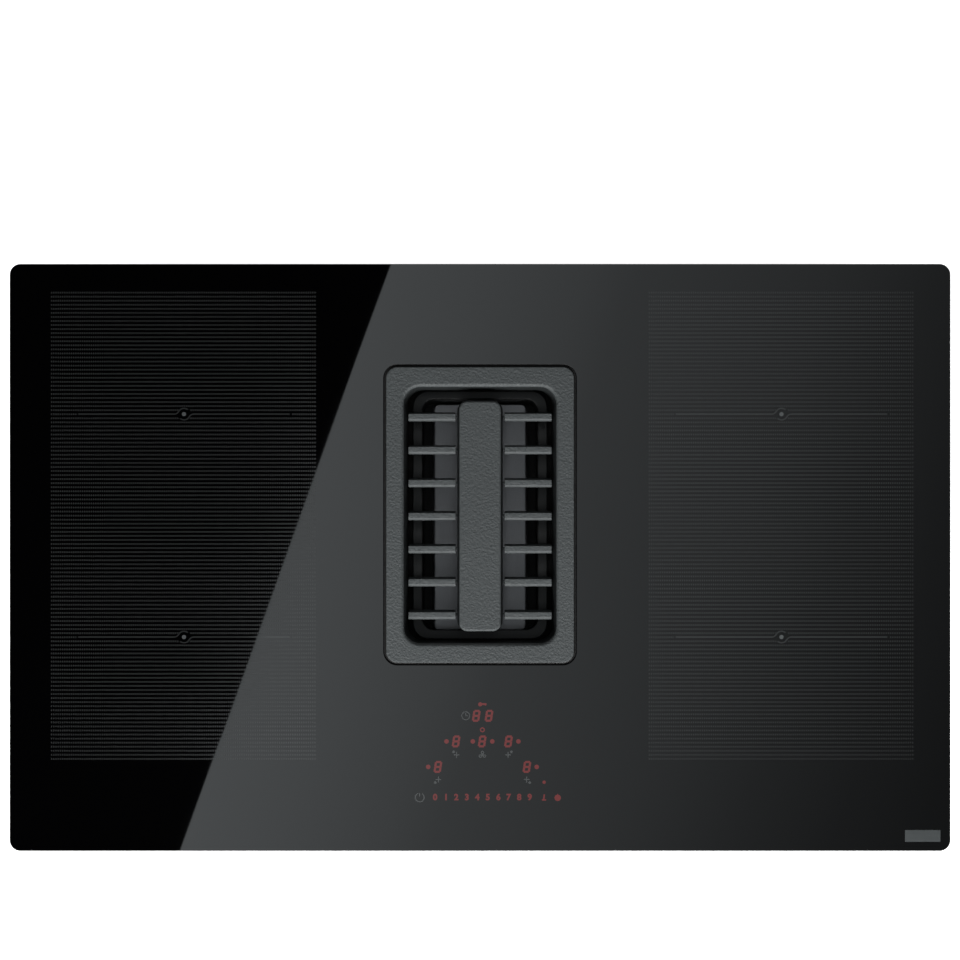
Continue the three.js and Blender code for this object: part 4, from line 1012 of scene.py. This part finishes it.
# Marks of the touch control and the markers: places and sizes in the photograph's pixels
SEGMENTS = (
    ((-0.5, 1.0), (0.5, 1.0)),
    ((-0.5, 0.0), (0.5, 0.0)),
    ((-0.5, -1.0), (0.5, -1.0)),
    ((-0.5, 1.0), (-0.5, 0.0)),
    ((0.5, 1.0), (0.5, 0.0)),
    ((-0.5, 0.0), (-0.5, -1.0)),
    ((0.5, 0.0), (0.5, -1.0)),
)
DIGIT_HALF_HEIGHT = 4.9
DIGIT_WIDTH = 5.3
DIGIT_SLANT = 0.15
DIGIT_PLACES = (
    (476.3, 715.8), (489.0, 715.8),
    (456.1, 741.4), (482.2, 741.4), (508.5, 741.4),
    (437.9, 766.9), (526.9, 766.9),
)
DOT_PLACES = (
    (446.5, 741.4), (472.8, 741.4), (492.3, 741.4), (518.4, 741.4),
    (428.2, 766.9), (536.7, 766.9),
)
SMALL_DOT_PLACE = (544.1, 782.2)
RING_PLACE = (482.4, 729.8)
CLOCK_PLACE = (465.7, 715.8)
KEY_PLACE = (482.6, 704.3)
# Each plus and the dot beside it
PLUS_PLACES = (
    ((456.6, 754.9), (453.6, 751.8)),
    ((508.1, 754.9), (511.4, 751.8)),
    ((438.5, 779.5), (435.2, 782.6)),
    ((526.6, 779.5), (529.7, 782.6)),
)
FAN_PLACE = (482.4, 754.9)
POWER_PLACE = (419.7, 797.4)
NUMBER_PLACES = (435.1, 446.0, 456.3, 466.9, 477.3, 487.8, 498.4, 508.5, 519.2, 529.7)
NUMBER_ROW = 797.4
PAUSE_PLACE = (544.0, 797.4)
BOOST_PLACE = (557.7, 797.4)
# Half of a marker's hook, from its spot: from the line's end up, then round over the spot
HOOK = (
    (-9.2, 0.0), (-7.4, 0.5), (-6.0, 1.7), (-4.7, 3.5), (-3.4, 4.8),
    (-1.7, 5.6), (0.0, 5.8), (1.8, 5.5), (3.6, 4.6),
)
INK = 0.00008
# For bars that cross or meet others, so that no two tops lie in one plane
RAISED_INK = 0.00011


def flat_bar(start, end, width, height=INK):
    """A flat bar on the glass between two points."""
    along = end - start
    deselect_all()
    bpy.ops.mesh.primitive_cube_add(size=1, location=(start + end) / 2 + Vector((0, 0, height / 2)))
    bar = bpy.context.object
    bar.scale = (along.length + width * 0.6, width, height)
    bar.rotation_euler = (0, 0, math.atan2(along.y, along.x))
    apply_place(bar)
    return bar


def bar(start, end, width, height=INK):
    """A flat bar between two pixels."""
    return flat_bar(photo_point(*start), photo_point(*end), width * PX, height)


def spot(place, radius, height=INK, vertices=20):
    """A flat disc round a pixel."""
    return add_disc("spot", photo_point(*place), radius * PX, height, vertices=vertices)


def ring(place, radius, width, gap=None):
    """A flat ring round a pixel; gap leaves out the part between two angles in degrees."""
    place = photo_point(*place, INK)
    deselect_all()
    bpy.ops.mesh.primitive_circle_add(vertices=36, radius=(radius + width / 2) * PX, location=place)
    circle = bpy.context.object
    apply_place(circle)
    enter_edit(circle)
    bpy.ops.mesh.primitive_circle_add(vertices=36, radius=(radius - width / 2) * PX, location=place)
    bpy.ops.mesh.select_all(action="SELECT")
    bpy.ops.mesh.bridge_edge_loops()
    if gap:
        pick(circle, "FACE", lambda face: gap[0] < heading(face.calc_center_median() - place) < gap[1])
        bpy.ops.mesh.delete(type="FACE")
    pick(circle, "FACE", lambda face: face.normal.z < 0)
    bpy.ops.mesh.flip_normals()
    leave_edit()
    return circle


def heading(direction):
    """Degrees from +X to a direction on the glass, 0 to 360."""
    return math.degrees(math.atan2(direction.y, direction.x)) % 360


class COOKTOP_OT_touch(bpy.types.Operator):
    """Lays the lit digits, numbers and icons of the touch control on the glass"""

    bl_idname = "cooktop.touch"
    bl_label = "Touch Control"

    def digit(self, place):
        centre = photo_point(*place)
        bars = []
        for segment in SEGMENTS:
            ends = []
            for x, y in segment:
                up = y * DIGIT_HALF_HEIGHT
                ends.append(centre + Vector((x * DIGIT_WIDTH + up * DIGIT_SLANT, up, 0)) * PX)
            along = (ends[1] - ends[0]).normalized() * 0.8 * PX
            level = INK if segment[0][1] == segment[1][1] else RAISED_INK
            bars.append(flat_bar(ends[0] + along, ends[1] - along, 2.15 * PX, level))
        return join("digit", bars)

    def number(self, character, px_x):
        deselect_all()
        bpy.ops.object.text_add(location=photo_point(px_x, NUMBER_ROW))
        text = bpy.context.object.data
        text.body = character
        text.size = 8.5 * PX
        text.align_x = text.align_y = "CENTER"
        text.extrude = INK / 2
        text.offset = 0.00036
        text.resolution_u = 4
        bpy.ops.object.convert(target="MESH")
        apply_place(bpy.context.object)
        return bpy.context.object

    def key(self, x, y):
        head = spot((x - 2.4, y), 2.1)
        shaft = bar((x - 1.0, y - 0.2), (x + 3.3, y - 0.2), 1.9, RAISED_INK)
        return [head, shaft, bar((x + 3.0, y), (x + 3.0, y + 0.9), 1.3)]

    def pause(self, x, y):
        post = bar((x + 0.3, y - 2.6), (x - 0.3, y + 2.2), 1.5, RAISED_INK)
        return [post, bar((x - 1.7, y + 2.5), (x + 1.7, y + 2.5), 1.4)]

    def boost(self, x, y):
        return [spot((x, y + 0.4), 3.4, INK, 8), spot((x, y - 1.2), 2.6, RAISED_INK, 3)]

    def plus(self, place, dot_place):
        x, y = place
        level = bar((x - 2.5, y), (x + 2.5, y), 1.0)
        upright = bar((x, y - 2.7), (x, y + 2.7), 1.0, RAISED_INK)
        return [level, upright, spot(dot_place, 1.35)]

    def fan(self, x, y):
        marks = [spot((x, y), 1.2, RAISED_INK, 12)]
        for turn in (90, 210, 330):
            angle = math.radians(turn)
            marks.append(ring((x + 2.4 * math.cos(angle), y - 2.4 * math.sin(angle)), 1.2, 0.9))
        return marks

    def clock(self, x, y):
        hands = [bar((x, y), (x, y - 2.6), 0.8), bar((x, y), (x + 2.0, y), 0.8, RAISED_INK)]
        return [ring((x, y), 4.0, 0.8), *hands]

    def power(self, x, y):
        return [ring((x, y), 4.4, 1.0, gap=(65, 115)), bar((x, y - 3.9), (x, y - 1.2), 1.0)]

    def execute(self, context):
        lit = [self.digit(place) for place in DIGIT_PLACES]
        lit += [spot(place, 2.3) for place in DOT_PLACES]
        lit += [spot(SMALL_DOT_PLACE, 1.7), ring(RING_PLACE, 1.9, 1.2)]
        lit += [self.number(str(value), px_x) for value, px_x in enumerate(NUMBER_PLACES)]
        lit += self.key(*KEY_PLACE) + self.pause(*PAUSE_PLACE) + self.boost(*BOOST_PLACE)
        finish_piece(join("lit_marks", lit), "cooktop", lit_red, "ceramic_glass")
        grey = self.clock(*CLOCK_PLACE) + self.power(*POWER_PLACE)
        for places in PLUS_PLACES:
            grey += self.plus(*places)
        grey += self.fan(*FAN_PLACE)
        finish_piece(join("grey_marks", grey), "cooktop", icon_grey, "ceramic_glass")
        return {"FINISHED"}


class COOKTOP_OT_markers(bpy.types.Operator):
    """Draws the four cooking markers: a spot between two lines that end in hooks round it"""

    bl_idname = "cooktop.markers"
    bl_label = "Zone Markers"

    def hook(self, marker, side):
        """The left line's end rises and bends over the spot; the right one's is turned half round."""
        points = [marker + Vector((x, y, 0)) * -side * PX for x, y in HOOK]
        bars = []
        for number, (start, end) in enumerate(zip(points, points[1:])):
            bars.append(flat_bar(start, end, 1.3 * PX, (RAISED_INK, INK)[number % 2]))
        return bars

    def execute(self, context):
        lines, spots = [], []
        for marker in MARKERS:
            spots.append(add_disc("marker_spot", marker, 2.1 * PX, INK, vertices=20))
            for side in (-1, 1):
                far = marker + Vector((side * (MARKER_LINE / 2 - 2.4 * PX), 0, 0))
                near = marker + Vector((side * -HOOK[0][0] * PX, 0, 0))
                lines.append(flat_bar(far, near, 1.6 * PX))
                lines += self.hook(marker, side)
        finish_piece(join("marker_lines", lines), "cooktop", printed_grey, "ceramic_glass")
        finish_piece(join("marker_spots", spots), "cooktop", pale_marker, "ceramic_glass")
        return {"FINISHED"}


class COOKTOP_OT_plate(bpy.types.Operator):
    """Sets the bare plate at the glass's front right corner"""

    bl_idname = "cooktop.plate"
    bl_label = "Bare Plate"

    thickness: length("Thickness", "Thickness of the plate", 0.0003)

    def execute(self, context):
        low = photo_point(904.95, 841.65)
        high = photo_point(940.4, 829.95, self.thickness)
        finish_piece(add_block("bare_plate", low, high, 0.0001), "cooktop", satin_plate, "stainless_steel")
        return {"FINISHED"}


# Nodes that keep their CAD shape: finish, slot, rounding of the edges, nodes
CARRIED_OVER = (
    (zinc_steel, "zinc_coated_steel", 0.0003, ("casing_tray", "motor_rotor")),
    (
        moulded_grey_plastic, "grey_plastic", 0.0008,
        ("plenum", "fan_housing_upper", "fan_housing_lower", "cable_gland"),
    ),
    (
        satin_black_plastic, "black_plastic", 0.0006,
        ("fan_inlet", "outlet_collar", "impeller", "terminal_box", "terminal_lid", "cooling_fan_housing_left",
         "cooling_fan_housing_right", "cooling_fan_rotor_left", "cooling_fan_rotor_right"),
    ),
    (matt_black_plastic, "black_plastic", 0.0003, ("well_duct",)),
    (
        plain_stainless, "stainless_steel", 0.0002,
        ("mounting_clip_rear_left", "mounting_clip_front_left", "mounting_clip_rear_right",
         "mounting_clip_front_right", "motor_shaft", "motor_bearing_lower", "motor_bearing_upper"),
    ),
)

# Nodes inside the casing by the start of their names; a later row goes over an earlier one
INNER_FINISHES = {
    "induction_coil": enamelled_copper,
    "coil_carrier": mill_aluminium,
    "ferrite_star": sintered_ferrite,
    "coil_sensor": pale_plastic,
    "mica_sheet": mica_laminate,
    "power_board": solder_mask,
    "heat_sink": mill_aluminium,
    "touch_board": solder_mask,
    "touch_board_carrier": pale_plastic,
    "motor_stator": enamelled_copper,
    "motor_base": mill_aluminium,
    "motor_grommet": black_silicone,
}


def body_of(node):
    for body, members in frame["record"]["behaviour"]["bodies"].items():
        if node in members:
            return body
    raise KeyError(node)


class COOKTOP_OT_housings(bpy.types.Operator):
    """Rounds the edges of casing, duct, fan housing and mains box and gives them their finish"""

    bl_idname = "cooktop.housings"
    bl_label = "Casing And Housings"

    def execute(self, context):
        for builder, slot, bevel, nodes in CARRIED_OVER:
            for node in nodes:
                finish_piece(rounded_copy(node, bevel), body_of(node), builder, slot, node)
        return {"FINISHED"}


# The fan housing's lugs: directions from the fan's axis, and the scroll they stand on
LUG_TURNS = (120, 190, 250, 310)
LUG_HEIGHT = 0.010
SCROLL_START_TURN = 75
SCROLL_START_RADIUS = 0.104
SCROLL_GROWTH = 0.046


class COOKTOP_OT_screws(bpy.types.Operator):
    """Drives pan-head screws into the fan housing's lugs and the terminal lid"""

    bl_idname = "cooktop.screws"
    bl_label = "Screws"

    head_radius: length("Head Radius", "Radius of a screw's head", 0.0036)
    head_height: length("Head Height", "Height of a screw's head", 0.0022)

    def head(self):
        """A head hanging under the origin, with a round socket that opens downward."""
        foot = (0.0, 0.0, -self.head_height)
        head = add_disc("screw", foot, self.head_radius, self.head_height, 0.0005, 24)
        enter_edit(head)
        pick(head, "FACE", lambda face: face.normal.z < -0.9 and len(face.verts) > 4)
        bpy.ops.mesh.inset(thickness=self.head_radius * 0.4, depth=0.0)
        bpy.ops.mesh.extrude_region_move(TRANSFORM_OT_translate={"value": (0.0, 0.0, self.head_height / 2)})
        leave_edit()
        return head

    def places(self):
        low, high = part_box("terminal_lid")
        edge = 2 * self.head_radius
        rows = (low.y + edge, high.y - edge)
        places = [(x, y, low.z) for x in (low.x + edge, high.x - edge) for y in rows]
        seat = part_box("fan_housing_lower")[1].z - LUG_HEIGHT
        for turn in LUG_TURNS:
            share = (turn - SCROLL_START_TURN) / (360 - SCROLL_START_TURN)
            radius = SCROLL_START_RADIUS + share * SCROLL_GROWTH + self.head_radius + 0.001
            angle = math.radians(turn)
            places.append((WELL.x + radius * math.cos(angle), WELL.y + radius * math.sin(angle), seat))
        return places

    def execute(self, context):
        head = self.head()
        screws = join("housing_screws", [copy_moved(head, place) for place in self.places()])
        bpy.data.objects.remove(head)
        finish_piece(screws, "cooktop", zinc_steel, "zinc_coated_steel")
        return {"FINISHED"}


class COOKTOP_OT_inner(bpy.types.Operator):
    """Gives coils, boards and motor parts inside the casing their finish"""

    bl_idname = "cooktop.inner"
    bl_label = "Inner Parts"

    def execute(self, context):
        for prefix, builder in INNER_FINISHES.items():
            for node, obj in frame["nodes"].items():
                if node.startswith(prefix):
                    obj.data.materials.clear()
                    obj.data.materials.append(made(builder))
        return {"FINISHED"}


# ---------------------------------------------------------------------------
# Studio
# ---------------------------------------------------------------------------

# Brightness of the ceiling card by pixels to the right of its reflection's sharp edge
CARD_FALL = (
    (0, 1.50), (100, 1.27), (200, 1.0), (250, 0.82), (440, 0.54),
    (550, 0.345), (650, 0.22), (740, 0.15), (900, 0.12),
)
CARD_TINT = (0.94, 1.0, 1.03)
CARD_EDGE_TOP = (390.0, 264.0)
CARD_EDGE_SLOPE = 0.357
CARD_RISE = 2.8
CARD_SIDE = 2.6
# The card's level over the glass's rear and front edges
CARD_LEVELS = (0.93, 1.12)
# The room by how far a direction points up: bright walls, dim above
ROOM_FALL = (("From Min", 0.2), ("From Max", 0.45), ("To Min", 0.6), ("To Max", 0.08))
FLOOR_SIDE = 14
SOFTBOX_AT = (-0.1, -1.58, 1.23)
SOFTBOX_SIZE = (2.1, 0.7)
SOFTBOX_WATTS = 74
SENSOR_WIDTH = 36.0


def pale_floor(finish):
    finish.colour_from(finish.noise(0.8, 2.0), (0.9, 0.9, 0.9), (0.93, 0.93, 0.93))
    finish.set(roughness=0.9, emission_strength=0.92, emission_color=(1.0, 1.0, 1.0, 1.0))


def ceiling_card(finish):
    """A light card whose mirror image in the glass starts at a slanting line and fades to the right."""
    finish.tree.nodes.remove(finish.surface)
    camera_at = bpy.context.scene.camera.location
    reach = (camera_at.z - GLASS_TOP + CARD_RISE) / (camera_at.z - GLASS_TOP)
    glass = []
    for place, middle in zip(finish.coordinates(), camera_at.xy):
        away = finish.maths("SUBTRACT", place, middle)
        glass.append(finish.maths("ADD", finish.maths("DIVIDE", away, reach), middle))
    edge = photo_point(*CARD_EDGE_TOP)
    down = finish.maths("SUBTRACT", edge.y, glass[1])
    line = finish.maths("SUBTRACT", edge.x, finish.maths("MULTIPLY", down, CARD_EDGE_SLOPE))
    distance = finish.maths("DIVIDE", finish.maths("SUBTRACT", glass[0], line), PX)
    last = CARD_FALL[-1][0]
    ramp = finish.node("ShaderNodeValToRGB")
    finish.link(finish.maths("DIVIDE", distance, last), ramp.inputs[0])
    stops = ramp.color_ramp.elements
    while len(stops) < len(CARD_FALL):
        stops.new(0.5)
    for stop, (place, level) in zip(stops, CARD_FALL):
        stop.position = place / last
        stop.color = (*scaled(CARD_TINT, level), 1.0)
    lit = finish.maths("GREATER_THAN", distance, 0.0)
    toward_front = finish.range(down, *CARD_LEVELS, 0.0, GLASS_HIGH.y - GLASS_LOW.y)
    glow = finish.node("ShaderNodeEmission")
    finish.link(ramp.outputs[0], glow.inputs["Color"])
    finish.link(finish.maths("MULTIPLY", lit, toward_front), glow.inputs["Strength"])
    finish.link(glow.outputs[0], finish.output.inputs["Surface"])


def pale_room():
    """A room whose walls are white near the floor and fall to a dim grey overhead."""
    world = bpy.data.worlds.new("pale_room")
    world.use_nodes = True
    tree = world.node_tree
    direction = tree.nodes.new("ShaderNodeTexCoord")
    split = tree.nodes.new("ShaderNodeSeparateXYZ")
    fall = tree.nodes.new("ShaderNodeMapRange")
    for socket, value in ROOM_FALL:
        fall.inputs[socket].default_value = value
    tree.links.new(direction.outputs["Generated"], split.inputs[0])
    tree.links.new(split.outputs["Z"], fall.inputs["Value"])
    tree.links.new(fall.outputs[0], tree.nodes["Background"].inputs["Strength"])
    tree.nodes["Background"].inputs["Color"].default_value = (1.0, 1.0, 1.0, 1.0)
    return world


class COOKTOP_OT_stage(bpy.types.Operator):
    """Sets the pale floor, the soft studio light and the camera straight above the hob"""

    bl_idname = "cooktop.stage"
    bl_label = "Studio"

    def camera(self):
        middle = photo_point(PHOTO_SIDE / 2, PHOTO_SIDE / 2)
        height = sizes().camera_height
        deselect_all()
        bpy.ops.object.camera_add(location=(middle.x, middle.y, GLASS_TOP + height), rotation=(0, 0, 0))
        camera = bpy.context.object
        camera.data.sensor_width = SENSOR_WIDTH
        camera.data.lens = SENSOR_WIDTH * height / (PHOTO_SIDE * PX)
        camera.data.clip_end = 50.0
        bpy.context.scene.camera = camera
        return camera

    def sheet(self, name, side, place, builder):
        """A flat square of the studio."""
        deselect_all()
        bpy.ops.mesh.primitive_plane_add(size=side, location=place)
        sheet = named(name)
        apply_place(sheet)
        sheet.data.materials.append(made(builder))

    def softbox(self):
        deselect_all()
        bpy.ops.object.light_add(type="AREA", location=SOFTBOX_AT)
        lamp = named("front_softbox")
        lamp.data.shape = "RECTANGLE"
        lamp.data.size, lamp.data.size_y = SOFTBOX_SIZE
        lamp.data.energy = SOFTBOX_WATTS
        aim = Vector((0, WELL.y, GLASS_TOP)) - Vector(SOFTBOX_AT)
        lamp.rotation_euler = aim.to_track_quat("-Z", "Y").to_euler()

    def execute(self, context):
        camera = self.camera()
        self.sheet("floor", FLOOR_SIDE, (0, 0, -0.0005), pale_floor)
        above = (camera.location.x, camera.location.y, GLASS_TOP + CARD_RISE)
        self.sheet("ceiling_card", CARD_SIDE, above, ceiling_card)
        self.softbox()
        context.scene.world = pale_room()
        context.scene.view_settings.view_transform = "Standard"
        return {"FINISHED"}


OPERATORS = (
    COOKTOP_OT_glass,
    COOKTOP_OT_frame,
    COOKTOP_OT_seals,
    COOKTOP_OT_grille,
    COOKTOP_OT_basket,
    COOKTOP_OT_tray,
    COOKTOP_OT_touch,
    COOKTOP_OT_markers,
    COOKTOP_OT_plate,
    COOKTOP_OT_housings,
    COOKTOP_OT_screws,
    COOKTOP_OT_inner,
    COOKTOP_OT_stage,
)


class COOKTOP_PT_panel(bpy.types.Panel):
    """Lists the pieces and settings of the cooktop"""

    bl_idname = "COOKTOP_PT_panel"
    bl_label = "Downdraft Cooktop"
    bl_space_type = "VIEW_3D"
    bl_region_type = "UI"
    bl_category = "Cooktop"

    def draw(self, context):
        column = self.layout.column(align=True)
        for operator in OPERATORS:
            column.operator(operator.bl_idname, text=operator.bl_label)
        for group in (context.scene.cooktop_sizes, context.scene.cooktop_colours):
            box = self.layout.box()
            for name in group.__annotations__:
                box.prop(group, name)


CLASSES = (CooktopSizes, CooktopColours, *OPERATORS, COOKTOP_PT_panel)


def register():
    for cls in CLASSES:
        bpy.utils.register_class(cls)
    bpy.types.Scene.cooktop_sizes = bpy.props.PointerProperty(type=CooktopSizes)
    bpy.types.Scene.cooktop_colours = bpy.props.PointerProperty(type=CooktopColours)


def unregister():
    del bpy.types.Scene.cooktop_colours
    del bpy.types.Scene.cooktop_sizes
    for cls in reversed(CLASSES):
        bpy.utils.unregister_class(cls)


def main():
    register()
    for operator in OPERATORS:
        group, name = operator.bl_idname.split(".")
        getattr(getattr(bpy.ops, group), name)()
    deselect_all()


if __name__ == "__main__":
    main()
